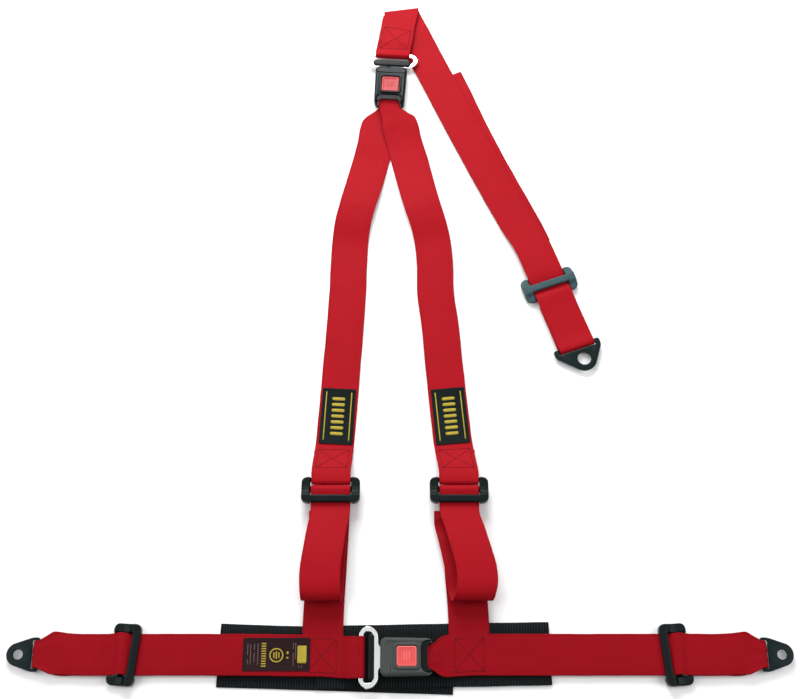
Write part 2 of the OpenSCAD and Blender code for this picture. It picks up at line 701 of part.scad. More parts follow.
module lap_tongue() { at_lap_buckle() tongue(); }
module lap_tongue_insert() { at_lap_buckle() tongue_insert(); }
module lap_upper_shell() { color(grey) at_lap_buckle() difference() { upper_shell(); screw_holes(); } }
module lap_lower_shell() { color(grey) at_lap_buckle() difference() { lower_shell(); screw_holes(); } }
module lap_frame() { at_lap_buckle() buckle_frame(); }
module lap_latch() { at_lap_buckle() latch(); }
module lap_button() { at_lap_buckle() push_button(); }
module lap_button_spring() { at_lap_buckle() button_spring(); }
module lap_ejector() { at_lap_buckle() ejector(); }
module lap_ejector_spring() { at_lap_buckle() ejector_spring(); }
module lap_shell_screws() { at_lap_buckle() shell_screws(); }

rear_strap();
rear_strap_tail();
rear_anchor_loop();
rear_adjuster();
rear_anchor_plate();
top_tongue();
top_tongue_insert();
top_upper_shell();
top_lower_shell();
top_frame();
top_latch();
top_button();
top_button_spring();
top_ejector();
top_ejector_spring();
top_shell_screws();
left_shoulder_strap();
right_shoulder_strap();
left_shoulder_patch();
right_shoulder_patch();
left_shoulder_adjuster();
right_shoulder_adjuster();
left_lower_strap();
right_lower_strap();
left_strap_tail();
right_strap_tail();
left_lap_strap();
right_lap_strap();
left_lap_adjuster();
right_lap_adjuster();
left_anchor_loop();
right_anchor_loop();
left_anchor_plate();
right_anchor_plate();
left_lap_pad();
right_lap_pad();
approval_label();
lap_tongue();
lap_tongue_insert();
lap_upper_shell();
lap_lower_shell();
lap_frame();
lap_latch();
lap_button();
lap_button_spring();
lap_ejector();
lap_ejector_spring();
lap_shell_screws();
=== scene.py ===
"""Looks of the racing harness: webbing, hardware, buckles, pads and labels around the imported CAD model.

Lengths in this script are millimetres until MM turns them into metres. Places are given in the
layout's frame, whose y = 0 is the lap line through the two lap bolts.
"""
import json
import math

import bpy
from mathutils import Matrix, Vector, noise


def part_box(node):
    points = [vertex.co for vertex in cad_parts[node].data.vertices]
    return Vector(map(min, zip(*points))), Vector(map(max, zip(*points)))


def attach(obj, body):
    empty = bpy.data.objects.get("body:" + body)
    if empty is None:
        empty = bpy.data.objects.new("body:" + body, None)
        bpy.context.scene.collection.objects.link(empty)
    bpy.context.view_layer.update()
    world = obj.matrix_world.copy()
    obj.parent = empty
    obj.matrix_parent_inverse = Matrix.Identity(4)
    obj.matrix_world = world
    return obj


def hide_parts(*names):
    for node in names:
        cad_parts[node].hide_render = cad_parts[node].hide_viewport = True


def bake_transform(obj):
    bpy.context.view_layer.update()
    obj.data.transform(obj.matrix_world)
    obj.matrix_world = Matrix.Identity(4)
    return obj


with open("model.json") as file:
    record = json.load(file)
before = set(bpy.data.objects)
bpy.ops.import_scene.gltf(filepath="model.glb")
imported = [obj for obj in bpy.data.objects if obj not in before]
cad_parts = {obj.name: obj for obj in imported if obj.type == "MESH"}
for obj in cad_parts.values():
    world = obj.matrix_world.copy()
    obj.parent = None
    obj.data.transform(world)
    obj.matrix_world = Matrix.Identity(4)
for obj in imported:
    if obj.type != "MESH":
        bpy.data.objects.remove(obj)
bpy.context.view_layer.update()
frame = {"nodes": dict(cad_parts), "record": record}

MM = 0.001
MOUNTS = {m["name"]: m["pos_m"] for m in frame["record"]["mounts"]}
LINE_Y = MOUNTS["left_lap_bolt"][1] / MM

WEB_W = 50.0
WEB_T = 1.3
PAD_L, PAD_W, PAD_T = 286.0, 76.0, 1.6
RIB = 3.4


# Places read from the frame --------------------------------------------------------------------

def low(node):
    """Lowest corner of a CAD node, in layout millimetres."""
    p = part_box(node)[0]
    return Vector((p[0] / MM, p[1] / MM - LINE_Y, p[2] / MM))


def high(node):
    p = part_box(node)[1]
    return Vector((p[0] / MM, p[1] / MM - LINE_Y, p[2] / MM))


def middle(node):
    return (low(node) + high(node)) / 2


def place(x, y, z):
    """A layout point in the row frame, in metres."""
    return Vector((x * MM, (LINE_Y + y) * MM, z * MM))


RAIL_DOWN = 5.0
LAP_Z = low("left_lap_adjuster").z + RAIL_DOWN
SHOULDER_Z = low("left_shoulder_adjuster").z + RAIL_DOWN
LOWER_Z = middle("left_lower_strap").z
TAIL_FLOOR = low("left_strap_tail").z + WEB_T / 2
LEFT_YOKE_Z = low("left_shoulder_strap").z + WEB_T / 2
RIGHT_YOKE_Z = low("right_shoulder_strap").z + WEB_T / 2
REAR_Z = low("rear_strap").z + WEB_T / 2
REAR_TAIL_Z = middle("rear_strap_tail").z
FOLD_Y = 946.0

LAP_BUCKLE = Vector((8, -4, middle("lap_tongue").z))
TOP_BUCKLE = Vector((-14, 809, middle("top_tongue").z))
TOP_TURN = -93.4
REAR_TURN = 19.6 - 90
REAR_ADJUSTER = Vector((203, FOLD_Y - 451, LAP_Z))
ADJUSTER_TILT = 5.0

# The buckle, about the middle of its button: the tongue enters from -X, the belt leaves at +X.
BUCKLE_L, BUCKLE_W = 64.0, 47.0
BUCKLE_UP, BUCKLE_DOWN = 10.5, 8.0
BELT_BAR_X, BELT_BAR_EYE = 24.0, 4.55
BUCKLE_BELT_W = 29.0
RING_OUT, RING_BAR = -58.0, 5.4
RING_BAR_X = RING_OUT + RING_BAR / 2
RING_SLOT = 13.0
RING_W = 74.5
RING_EYE = 3.92
TONGUE_T = 2.2
PLATE_EYE = 3.92


def turned(origin, angle, x, y=0.0):
    """A point of a piece that is turned about Z at origin."""
    a = math.radians(angle)
    return (origin.x + x * math.cos(a) - y * math.sin(a), origin.y + x * math.sin(a) + y * math.cos(a))


def frame_at(origin, angle):
    """Matrix from a piece's own millimetres to the row frame."""
    return (Matrix.Translation(place(*origin)) @ Matrix.Rotation(math.radians(angle), 4, "Z")
            @ Matrix.Scale(MM, 4))


# Materials -------------------------------------------------------------------------------------

def srgb(r, g, b):
    """Linear colour of 0-255 screen values."""
    def line(c):
        c /= 255
        return c / 12.92 if c <= 0.04045 else ((c + 0.055) / 1.055) ** 2.4
    return (line(r), line(g), line(b), 1)


class Nodes:
    """A material's node tree with short calls to add and join nodes."""

    def __init__(self, name):
        self.material = bpy.data.materials.new(name)
        self.material.use_nodes = True
        self.tree = self.material.node_tree
        self.shader = self.tree.nodes["Principled BSDF"]
        self.slots = {}

    def add(self, kind, **values):
        node = self.tree.nodes.new(kind)
        for key, value in values.items():
            setattr(node, key, value)
        return node

    def wire(self, value, socket):
        if isinstance(value, bpy.types.NodeSocket):
            self.tree.links.new(value, socket)
        else:
            socket.default_value = value

    def math(self, operation, a, b=0.0, c=0.0):
        node = self.add("ShaderNodeMath", operation=operation)
        for value, socket in zip((a, b, c), node.inputs):
            self.wire(value, socket)
        return node.outputs[0]

    def mix(self, factor, a, b):
        node = self.add("ShaderNodeMix", data_type="RGBA")
        self.wire(factor, node.inputs[0])
        self.wire(a, node.inputs[6])
        self.wire(b, node.inputs[7])
        return node.outputs[2]

    def ramp(self, value, low_at, high_at):
        node = self.add("ShaderNodeMapRange", interpolation_type="SMOOTHSTEP")
        self.wire(value, node.inputs[0])
        node.inputs[1].default_value = low_at
        node.inputs[2].default_value = high_at
        return node.outputs[0]

    def weave_uv(self):
        uv = self.add("ShaderNodeUVMap", uv_map="Weave")
        split = self.add("ShaderNodeSeparateXYZ")
        self.wire(uv.outputs[0], split.inputs[0])
        return split.outputs[0], split.outputs[1]

    def object_noise(self, scale, detail=4.0, stretch=(1, 1, 1)):
        where = self.add("ShaderNodeTexCoord")
        move = self.add("ShaderNodeMapping")
        move.inputs["Scale"].default_value = stretch
        tex = self.add("ShaderNodeTexNoise")
        tex.inputs["Scale"].default_value = scale
        tex.inputs["Detail"].default_value = detail
        self.wire(where.outputs["Object"], move.inputs[0])
        self.wire(move.outputs[0], tex.inputs["Vector"])
        return tex.outputs["Fac"]

    def bump(self, height, strength, distance):
        node = self.add("ShaderNodeBump")
        node.inputs["Strength"].default_value = strength
        node.inputs["Distance"].default_value = distance
        self.wire(height, node.inputs["Height"])
        self.wire(node.outputs[0], self.shader.inputs["Normal"])

    def set(self, **values):
        for key, value in values.items():
            self.wire(value, self.shader.inputs[key.replace("_", " ")])
        return self.material


def webbing(name, colour, dark, sheen=0.02):
    """Herringbone polyester webbing: fine warp ribs, slanted picks, firm selvedges."""
    n = Nodes(name)
    u, v = n.weave_uv()
    zig = n.math("PINGPONG", n.math("MULTIPLY", u, 1 / 3.2), 1.0)
    picks = n.math("ADD", n.math("MULTIPLY", v, 1 / 1.5), n.math("MULTIPLY", zig, 1.6))
    slant = n.math("SINE", n.math("MULTIPLY", picks, math.tau))
    ribs = n.math("SINE", n.math("MULTIPLY", u, math.tau / 0.8))
    height = n.math("ADD", n.math("MULTIPLY", slant, 0.36), n.math("MULTIPLY", ribs, 0.14))
    tone = n.ramp(height, -0.5, 0.5)
    blotch = n.object_noise(28.0, 5.0)
    slub = n.object_noise(900.0, 2.0)
    shade = n.math("ADD", n.math("MULTIPLY", tone, 0.5), n.math("MULTIPLY", blotch, 0.35))
    shade = n.math("ADD", shade, n.math("MULTIPLY", slub, 0.15))
    edge = n.ramp(n.math("ABSOLUTE", u), WEB_W / 2 - 3.6, WEB_W / 2 - 2.8)
    body = n.mix(shade, dark, colour)
    rim = n.mix(n.math("MULTIPLY", edge, 0.22), body, dark)
    n.bump(n.math("ADD", height, n.math("MULTIPLY", slub, 0.5)), 0.35, 0.0004)
    n.shader.inputs["Specular IOR Level"].default_value = 0.06
    n.shader.inputs["Sheen Weight"].default_value = sheen
    n.shader.inputs["Sheen Roughness"].default_value = 0.4
    n.shader.inputs["Sheen Tint"].default_value = (1.0, 0.25, 0.25, 1)
    return n.set(Base_Color=rim, Roughness=n.math("ADD", 0.5, n.math("MULTIPLY", slub, 0.14)))


def thread(name, colour):
    """Twisted sewing thread."""
    n = Nodes(name)
    twist = n.object_noise(2400.0, 1.0)
    n.bump(twist, 0.3, 0.0002)
    n.shader.inputs["Specular IOR Level"].default_value = 0.2
    return n.set(Base_Color=n.mix(twist, tuple(c * 0.6 for c in colour[:3]) + (1,), colour),
                 Roughness=0.6)


def coated_metal(name, colour, worn_and_lit, roughness=0.34, wear_and_highlight=0.5):
    """Black coated steel: slight orange peel; its edges are paler, partly scuffed and partly a painted
    highlight.
    """
    n = Nodes(name)
    peel = n.object_noise(1500.0, 3.0)
    cloud = n.object_noise(60.0, 6.0)
    # Paler edges: partly scuffed coating, partly a painted highlight where light catches the edges.
    sharp = n.add("ShaderNodeNewGeometry").outputs["Pointiness"]
    edge = n.ramp(sharp, 0.515, 0.60)
    edge_wear_and_highlight = n.math("MULTIPLY", n.math("MULTIPLY", edge, n.ramp(cloud, 0.3, 0.7)), wear_and_highlight)
    base = n.mix(n.math("MULTIPLY", cloud, 0.4), colour, tuple(c * 1.8 for c in colour[:3]) + (1,))
    n.bump(n.math("ADD", peel, n.math("MULTIPLY", cloud, 0.6)), 0.12, 0.0003)
    n.shader.inputs["Specular IOR Level"].default_value = 0.16
    return n.set(Base_Color=n.mix(edge_wear_and_highlight, base, worn_and_lit),
                 Roughness=n.math("ADD", roughness - 0.07, n.math("MULTIPLY", cloud, 0.16)))


def bright_metal(name, colour, roughness, stretch=(1, 1, 1)):
    """Plated or drawn steel with fine brushing and faint marks."""
    n = Nodes(name)
    brush = n.object_noise(1800.0, 3.0, stretch)
    marks = n.object_noise(90.0, 6.0)
    n.bump(brush, 0.08, 0.0002)
    tint = n.mix(n.math("MULTIPLY", marks, 0.35), colour, tuple(c * 0.72 for c in colour[:3]) + (1,))
    return n.set(Base_Color=tint, Metallic=1.0,
                 Roughness=n.math("ADD", roughness - 0.04, n.math("MULTIPLY", marks, 0.1)))


def moulded(name, colour, worn_and_lit_edge, roughness, grain=0.25, wear_and_highlight=0.35, coat=0.0):
    """Moulded plastic with spark grain; its edges are paler, partly scuffed and partly a painted highlight.
    """
    n = Nodes(name)
    spark = n.object_noise(2600.0, 2.0)
    cloud = n.object_noise(70.0, 5.0)
    # Paler edges: partly scuffed plastic, partly a painted highlight where light catches the edges.
    sharp = n.add("ShaderNodeNewGeometry").outputs["Pointiness"]
    edge_wear_and_highlight = n.math("MULTIPLY", n.ramp(sharp, 0.51, 0.58), wear_and_highlight)
    base = n.mix(cloud, tuple(c * 0.8 for c in colour[:3]) + (1,), colour)
    n.bump(spark, grain, 0.00025)
    n.shader.inputs["Specular IOR Level"].default_value = 0.16
    n.shader.inputs["Coat Weight"].default_value = coat
    n.shader.inputs["Coat Roughness"].default_value = 0.15
    return n.set(Base_Color=n.mix(edge_wear_and_highlight, base, worn_and_lit_edge),
                 Roughness=n.math("ADD", roughness - 0.06, n.math("MULTIPLY", cloud, 0.14)))


def ribbed(name, colour, dark, pitch):
    """Heavy webbing with raised ribs across it: painted light on the ribs and painted shade between them,
    paler towards each edge.
    """
    n = Nodes(name)
    u, v = n.weave_uv()
    rib = n.math("COSINE", n.math("MULTIPLY", v, math.tau / pitch))
    yarn = n.math("SINE", n.math("MULTIPLY", u, math.tau / 1.3))
    firm = n.ramp(n.math("ABSOLUTE", u), PAD_W / 2 - 8, PAD_W / 2 - 5)
    height = n.math("ADD", rib, n.math("MULTIPLY", yarn, 0.3))
    # Painted light on the ribs and painted shade in the grooves between them; paler within a few millimetres
    # of each edge.
    light = n.math("MULTIPLY", n.ramp(height, 0.1, 1.1), n.math("ADD", 0.45, n.math("MULTIPLY", firm, 0.55)))
    n.bump(height, 0.6, 0.0005)
    n.shader.inputs["Specular IOR Level"].default_value = 0.1
    return n.set(Base_Color=n.mix(light, dark, colour), Roughness=0.5)


def woven(name, colour, dark, pitch=0.7, bump=0.3):
    """Satin or badge cloth with fine threads both ways."""
    n = Nodes(name)
    u, v = n.weave_uv()
    across = n.math("SINE", n.math("MULTIPLY", u, math.tau / pitch))
    along = n.math("SINE", n.math("MULTIPLY", v, math.tau / pitch))
    both = n.math("MULTIPLY", across, along)
    blotch = n.object_noise(160.0, 4.0)
    shade = n.math("ADD", n.math("MULTIPLY", n.ramp(both, -1, 1), 0.5), n.math("MULTIPLY", blotch, 0.5))
    n.bump(both, bump, 0.0002)
    n.shader.inputs["Specular IOR Level"].default_value = 0.14
    return n.set(Base_Color=n.mix(shade, dark, colour), Roughness=0.72)


RED = webbing("red_webbing", srgb(169, 15, 28), srgb(136, 9, 20))
# Painted shade: a darker copy of the red webbing for the lap, anchor and lower belts, standing in for the
# weaker light and the shadow on them.
SHADED_RED = webbing("dark_red_webbing", srgb(156, 9, 24), srgb(120, 5, 16))
RED_THREAD = thread("red_thread", srgb(96, 8, 15))
PAD = ribbed("pad_webbing", srgb(30, 38, 41), srgb(1, 2, 3), RIB)
PATCH = woven("patch_cloth", srgb(9, 26, 24), srgb(3, 12, 11))
GOLD_THREAD = woven("gold_embroidery", srgb(196, 178, 74), srgb(150, 128, 36), 0.9, 0.6)
LABEL = woven("label_cloth", srgb(44, 20, 25), srgb(24, 9, 12), 0.5)
LABEL_GREY = woven("label_print_grey", srgb(112, 92, 88), srgb(80, 62, 60), 0.5)
# The second colour of each hardware material is its paler edge colour: partly scuffed, partly a painted
# highlight.
BLACK_METAL = coated_metal("black_hardware", srgb(2, 13, 14), srgb(56, 74, 78))
GREY_METAL = coated_metal("grey_hardware", srgb(48, 70, 74), srgb(112, 126, 128), 0.42)
PLATE_METAL = coated_metal("coated_steel", srgb(2, 19, 20), srgb(70, 86, 88), 0.4)
CHROME = bright_metal("polished_steel", (0.95, 0.96, 0.97, 1), 0.26)
ZINC = bright_metal("zinc_steel", (0.62, 0.63, 0.64, 1), 0.34, (1, 6, 1))
SPRING = bright_metal("spring_wire", (0.52, 0.53, 0.55, 1), 0.3)
# The second colour of each plastic material is its paler edge colour: partly scuffed, partly a painted
# highlight.
BLACK_PLASTIC = moulded("black_plastic", srgb(8, 12, 13), srgb(40, 46, 46), 0.42)
BLACK_SHELL = moulded("black_shell", srgb(2, 15, 18), srgb(52, 78, 90), 0.34, 0.2, 0.6)
GREY_SHELL = moulded("grey_shell", srgb(66, 71, 69), srgb(122, 128, 126), 0.45, 0.3, 0.6)
CORAL = moulded("button_coral", srgb(168, 34, 40), srgb(232, 120, 116), 0.38, 0.15, 0.7, 0.15)
PINK = moulded("button_pink", srgb(222, 84, 84), srgb(255, 160, 152), 0.38, 0.15, 0.7, 0.15)


# Meshes ----------------------------------------------------------------------------------------

def piece(name, verts, faces, material, matrix=None, smooth=True, uvs=None):
    """A new object from metres, or from millimetres with a matrix."""
    mesh = bpy.data.meshes.new(name)
    mesh.from_pydata([tuple(v) for v in verts], [], faces)
    if matrix is not None:
        mesh.transform(matrix)
    if uvs is not None:
        layer = mesh.uv_layers.new(name="Weave")
        for loop in mesh.loops:
            layer.data[loop.index].uv = uvs[loop.vertex_index]
    mesh.validate()
    mesh.update()
    for polygon in mesh.polygons:
        polygon.use_smooth = smooth
    mesh.materials.append(material)
    obj = bpy.data.objects.new(name, mesh)
    bpy.context.scene.collection.objects.link(obj)
    return obj


def ring_faces(rings, size, first=0):
    """Side faces and end caps of a tube of rings that have size points each."""
    faces = []
    for i in range(rings - 1):
        for k in range(size):
            a = first + i * size + k
            b = first + i * size + (k + 1) % size
            faces.append((a, b, b + size, a + size))
    faces.append(tuple(first + k for k in reversed(range(size))))
    faces.append(tuple(first + (rings - 1) * size + k for k in range(size)))
    return faces


def rounded_outline(half_x, half_y, radius, per_corner=6):
    """Points of a rounded rectangle, counter-clockwise."""
    points = []
    for quarter in range(4):
        cx = (half_x - radius) * (1 if quarter in (0, 3) else -1)
        cy = (half_y - radius) * (1 if quarter in (0, 1) else -1)
        for k in range(per_corner + 1):
            a = math.radians(90 * quarter + 90 * k / per_corner)
            points.append((cx + radius * math.cos(a), cy + radius * math.sin(a)))
    return points


def loft(layers):
    """Vertices and faces of a closed solid from equal rings of 3-D points."""
    verts = [p for layer in layers for p in layer]
    return verts, ring_faces(len(layers), len(layers[0]))


def pillow(half_x, half_y, radius, z_low, z_high, edge=0.6, steps=3):
    """A rounded block whose upper and lower edges are rounded too."""
    layers = []
    for k in range(steps + 1):
        a = math.radians(90 * k / steps)
        inset = edge * (1 - math.sin(a))
        outline = rounded_outline(half_x - inset, half_y - inset, max(radius - inset, 0.15))
        layers.append([(x, y, z_low + edge * (1 - math.cos(a))) for x, y in outline])
    top = [[(x, y, z_high + z_low - z) for x, y, z in layer] for layer in reversed(layers)]
    return loft(layers + top)


def shifted(solid, x=0.0, y=0.0, z=0.0):
    verts, faces = solid
    return [(a + x, b + y, c + z) for a, b, c in verts], faces


def gather(solids):
    """Several solids as one list of vertices and faces."""
    verts, faces = [], []
    for solid_verts, solid_faces in solids:
        first = len(verts)
        verts += solid_verts
        faces += [tuple(first + k for k in face) for face in solid_faces]
    return verts, faces


def apply_modifiers(obj):
    bpy.context.view_layer.update()
    baked = bpy.data.meshes.new_from_object(obj.evaluated_get(bpy.context.evaluated_depsgraph_get()))
    obj.modifiers.clear()
    obj.data = baked
    return obj


def melt(obj, voxel, smoothing):
    """Fuses an object's solids into one skin with soft fillets. Its own units are millimetres."""
    remesh = obj.modifiers.new("fuse", "REMESH")
    remesh.mode, remesh.voxel_size = "VOXEL", voxel
    soften = obj.modifiers.new("soften", "SMOOTH")
    soften.factor, soften.iterations = 0.5, smoothing
    apply_modifiers(obj)
    for polygon in obj.data.polygons:
        polygon.use_smooth = True
    return obj


def carve(obj, cutters):
    """Cuts a list of solids, in the object's own millimetres, out of it."""
    for index, cutter in enumerate(cutters):
        tool = piece(f"cutter_{index}", *cutter, obj.data.materials[0])
        cut = obj.modifiers.new(f"cut_{index}", "BOOLEAN")
        cut.operation, cut.solver, cut.object = "DIFFERENCE", "EXACT", tool
        apply_modifiers(obj)
        bpy.data.objects.remove(tool)
    return obj


def settle(obj, name, matrix, material):
    """A copy of a millimetre model as a finished piece in the row frame."""
    mesh = obj.data.copy()
    mesh.transform(matrix)
    mesh.materials.clear()
    mesh.materials.append(material)
    made = bpy.data.objects.new(name, mesh)
    bpy.context.scene.collection.objects.link(made)
    return made


def finish(obj, body, slot, *nodes):
    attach(obj, body)
    if nodes:
        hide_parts(*nodes)
    return obj


# Webbing ---------------------------------------------------------------------------------------

def curve_through(stations, step):
    """Values about every step along a smooth curve through the stations, which begin with x, y, z."""
    stations = [Vector(s) for s in stations]
    spans = [math.dist(a[:3], b[:3]) for a, b in zip(stations, stations[1:])]

    def slope(i):
        before = (stations[i] - stations[i - 1]) / spans[i - 1] if i else None
        after = (stations[i + 1] - stations[i]) / spans[i] if i < len(spans) else None
        if before is None or after is None:
            return after if before is None else before
        return (before * spans[i] + after * spans[i - 1]) / (spans[i - 1] + spans[i])

    found = []
    for i, span in enumerate(spans):
        start, end = stations[i], stations[i + 1]
        leave, arrive = slope(i) * span, slope(i + 1) * span
        count = max(1, round(span / step))
        for k in range(count):
            t = k / count
            found.append(start * (2 * t**3 - 3 * t**2 + 1) + leave * (t**3 - 2 * t**2 + t)
                         + end * (3 * t**2 - 2 * t**3) + arrive * (t**3 - t**2))
    return found + [stations[-1]]


# Columns of a belt's cross-section: distance in from the edge, and share of the thickness there.
EDGE_COLUMNS = ((0.15, 0.55), (0.6, 0.92), (1.7, 1.0), (2.7, 1.0), (3.2, 0.84), (3.7, 1.0))
INNER_COLUMNS = 8


class Band:
    """A belt along stations (x, y, z, width, heading of its right edge, thickness, pleat, lift)."""

    def __init__(self, name, stations, material, step=2.4, seed=0.0):
        full = [tuple(s) + (WEB_W, 0.0, WEB_T, 0.0, 0.0)[len(s) - 3:] for s in stations]
        self.name = name
        self.material = material
        self.samples = curve_through(full, step)
        self.seed = seed
        self.frames = []
        self.length = 0.0
        for i, s in enumerate(self.samples):
            after = self.samples[min(i + 1, len(self.samples) - 1)]
            before = self.samples[max(i - 1, 0)]
            ahead = Vector([after[k] - before[k] for k in range(3)]).normalized()
            a = math.radians(s[4])
            side = Vector((math.cos(a), math.sin(a), 0))
            up = side.cross(ahead).normalized()
            if i:
                self.length += math.dist(s[:3], self.samples[i - 1][:3])
            self.frames.append((Vector(s[:3]), side, up, ahead, self.length))
        self.piece = None

    def profile(self, half, thick):
        """The closed cross-section as (across, up) pairs."""
        columns = [(-half + inset, share) for inset, share in EDGE_COLUMNS]
        inner = half - EDGE_COLUMNS[-1][0]
        for k in range(1, INNER_COLUMNS):
            columns.append((-inner + 2 * inner * k / INNER_COLUMNS, 1.0))
        columns += [(half - inset, share) for inset, share in reversed(EDGE_COLUMNS)]
        top = [(s, share * thick / 2) for s, share in columns]
        bottom = [(s, -t) for s, t in reversed(top)]
        return [(-half, 0.0)] + top + [(half, 0.0)] + bottom

    def surface(self, index, across, rise):
        """A point of the belt, in layout millimetres."""
        centre, side, up, _, run = self.frames[index]
        half = self.samples[index][3] / 2
        pleat, lift = self.samples[index][6], self.samples[index][7]
        share = across / half
        folds = max(pleat, 0.0) * (0.5 - 0.5 * math.cos(share * math.tau * 1.5))
        wave = noise.noise(Vector((across / 24, run / 30, self.seed))) * 0.22
        wave += 0.35 * max(lift, 0.0) * noise.noise(Vector((across / 18, run / 16, self.seed + 7)))
        sway = 0.35 * noise.noise(Vector((run / 28, self.seed + 3, 0)))
        crown = 0.12 * (1 - share * share)
        return centre + side * (across + sway) + up * (rise + folds + wave + crown)

    def build(self):
        verts, uvs = [], []
        for index, sample in enumerate(self.samples):
            profile = self.profile(sample[3] / 2, sample[5])
            stretch = WEB_W / sample[3] if sample[3] < WEB_W else 1.0
            for across, rise in profile:
                verts.append(place(*self.surface(index, across, rise)))
                uvs.append((across * stretch, self.frames[index][4]))
        size = len(self.profile(WEB_W / 2, WEB_T))
        faces = ring_faces(len(self.samples), size)
        self.piece = piece(self.name, verts, faces, self.material, uvs=uvs)
        return self.piece

    def nearest(self, run):
        return min(range(len(self.frames)), key=lambda i: abs(self.frames[i][4] - run))

    def on_top(self, run, across, lift=0.0):
        """A point on the belt's upper face, and its normal, at a distance run along it."""
        index = self.nearest(run)
        _, _, up, ahead, at = self.frames[index]
        thick = self.samples[index][5]
        point = self.surface(index, across, thick / 2 + lift) + ahead * (run - at)
        return point, up


def stitches(name, seams, material, pitch=3.4, radius=0.38):
    """Sewn stitches along seams, each a function of t from 0 to 1 and its length in millimetres."""
    verts, faces = [], []
    sides, parts = 6, 5
    for seam, length in seams:
        count = max(2, round(length / pitch))
        for i in range(count):
            points = []
            for k in range(parts + 1):
                share = k / parts
                t = (i + 0.12 + 0.76 * share) / count
                point, up = seam(t)
                points.append((point + up * (0.34 * math.sin(math.pi * share) - 0.12), up))
            first = len(verts)
            for k, (point, up) in enumerate(points):
                ahead = (points[min(k + 1, parts)][0] - points[max(k - 1, 0)][0]).normalized()
                side = ahead.cross(up).normalized()
                over = side.cross(ahead)
                size = radius * (0.55 if k in (0, parts) else 1.0)
                for j in range(sides):
                    a = math.tau * j / sides
                    verts.append(place(*(point + side * size * math.cos(a) + over * size * math.sin(a))))
            faces += ring_faces(parts + 1, sides, first)
    return piece(name, verts, faces, material)


def seam_on(band, start, end, through=0.0):
    """A straight seam on a belt between two (run, across) points, or on its other face, that far through."""
    def at(t):
        point, up = band.on_top(start[0] + (end[0] - start[0]) * t, start[1] + (end[1] - start[1]) * t)
        return (point - up * through, -up) if through else (point, up)
    return at, math.dist(start, end)


def box_cross(band, run_a, run_b, half):
    """The seams of a sewn box with a cross in it."""
    corners = [(run_a, -half), (run_b, -half), (run_b, half), (run_a, half)]
    sides = [seam_on(band, corners[i], corners[(i + 1) % 4]) for i in range(4)]
    return sides + [seam_on(band, corners[0], corners[2]), seam_on(band, corners[1], corners[3])]


def eye(centre_x, centre_z, radius, start, end, step):
    """Points (x, z) round a bar, by angle."""
    count = round(abs(end - start) / step)
    return [(centre_x + radius * math.cos(math.radians(start + (end - start) * k / count)),
             centre_z + radius * math.sin(math.radians(start + (end - start) * k / count)))
            for k in range(count + 1)]


# Lap belts -------------------------------------------------------------------------------------

# Places along an adjuster's own X, where the thick bar is at the +X end.
THICK_BAR_MID = 12.0
CENTRE_BAR = (-5.0, 2.0)
FAR_BAR = (-17.0, -11.5)


def lap_webbing(side):
    """The belt from the buckle or tongue to under the adjuster's thick bar."""
    name = "left" if side < 0 else "right"
    adjuster = middle(f"{name}_lap_adjuster").x
    under = adjuster - side * THICK_BAR_MID
    flat = [(under, 0, LAP_Z - 0.1), (under - side * 12, 0, LAP_Z + 0.1), (under - side * 40, 0, LAP_Z),
            (side * 230, 0, LAP_Z)]
    heading = 90 * side
    if side < 0:
        bar = LAP_BUCKLE.x + RING_BAR_X
        route = [(x, y, z, WEB_W, heading) for x, y, z in flat]
        route += [(-119, -1, LAP_Z, WEB_W, heading), (-92, -1.5, LAP_Z + 0.1, WEB_W, heading),
                  (-74, -3, LAP_Z + 0.7, WEB_W, heading),
                  (bar - 12, -4, LAP_BUCKLE.z + 1.7, WEB_W, heading)]
        route += [(x, -4, z, WEB_W, heading) for x, z in
                  eye(bar, LAP_BUCKLE.z, RING_EYE, 140, -140, 20)]
        route += [(bar - 10, -4, LAP_BUCKLE.z - 1.7, WEB_W, heading),
                  (bar - 17, -4, LAP_Z + 1.7, WEB_W, heading)]
    else:
        bar = LAP_BUCKLE.x + BELT_BAR_X
        narrow = BUCKLE_BELT_W
        route = [(x, y, z, WEB_W, heading) for x, y, z in flat]
        route += [(120, 0, LAP_Z, WEB_W, heading), (88, 0, LAP_Z + 0.1, WEB_W, heading),
                  (76, -0.6, LAP_Z + 0.5, WEB_W, heading, WEB_T, 0.0, 0.6),
                  (66, -1.4, LAP_Z + 1.6, WEB_W, heading, WEB_T, 0.0, 1.6),
                  (58, -2.2, LAP_Z + 3.2, WEB_W + 0.4, heading, WEB_T, 0.2, 2.4),
                  (51, -3.0, LAP_BUCKLE.z - 1.2, WEB_W - 2.4, heading, WEB_T, 0.6, 2.4),
                  (46, -3.5, LAP_BUCKLE.z + 0.2, WEB_W - 8.0, heading, WEB_T, 1.0, 1.6),
                  (bar + 8.5, -4, LAP_BUCKLE.z + 1.3, narrow + 4, heading, WEB_T, 1.0, 0.8),
                  (bar + 5, -4, LAP_BUCKLE.z + 2.6, narrow + 0.6, heading, WEB_T, 0.5, 0.2)]
        route += [(x, -4, z, narrow, heading) for x, z in
                  eye(bar, LAP_BUCKLE.z, BELT_BAR_EYE, 35, 325, 24)]
        route += [(bar + 8, -4, LAP_BUCKLE.z - 2.2, narrow, heading)]
    # The lap belts take the red webbing with painted shade.
    band = Band(f"{name}_lap_webbing", route, SHADED_RED, seed=11.0 + side)
    strap = band.build()
    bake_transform(strap)
    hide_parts(f"{name}_lap_strap")
    return band


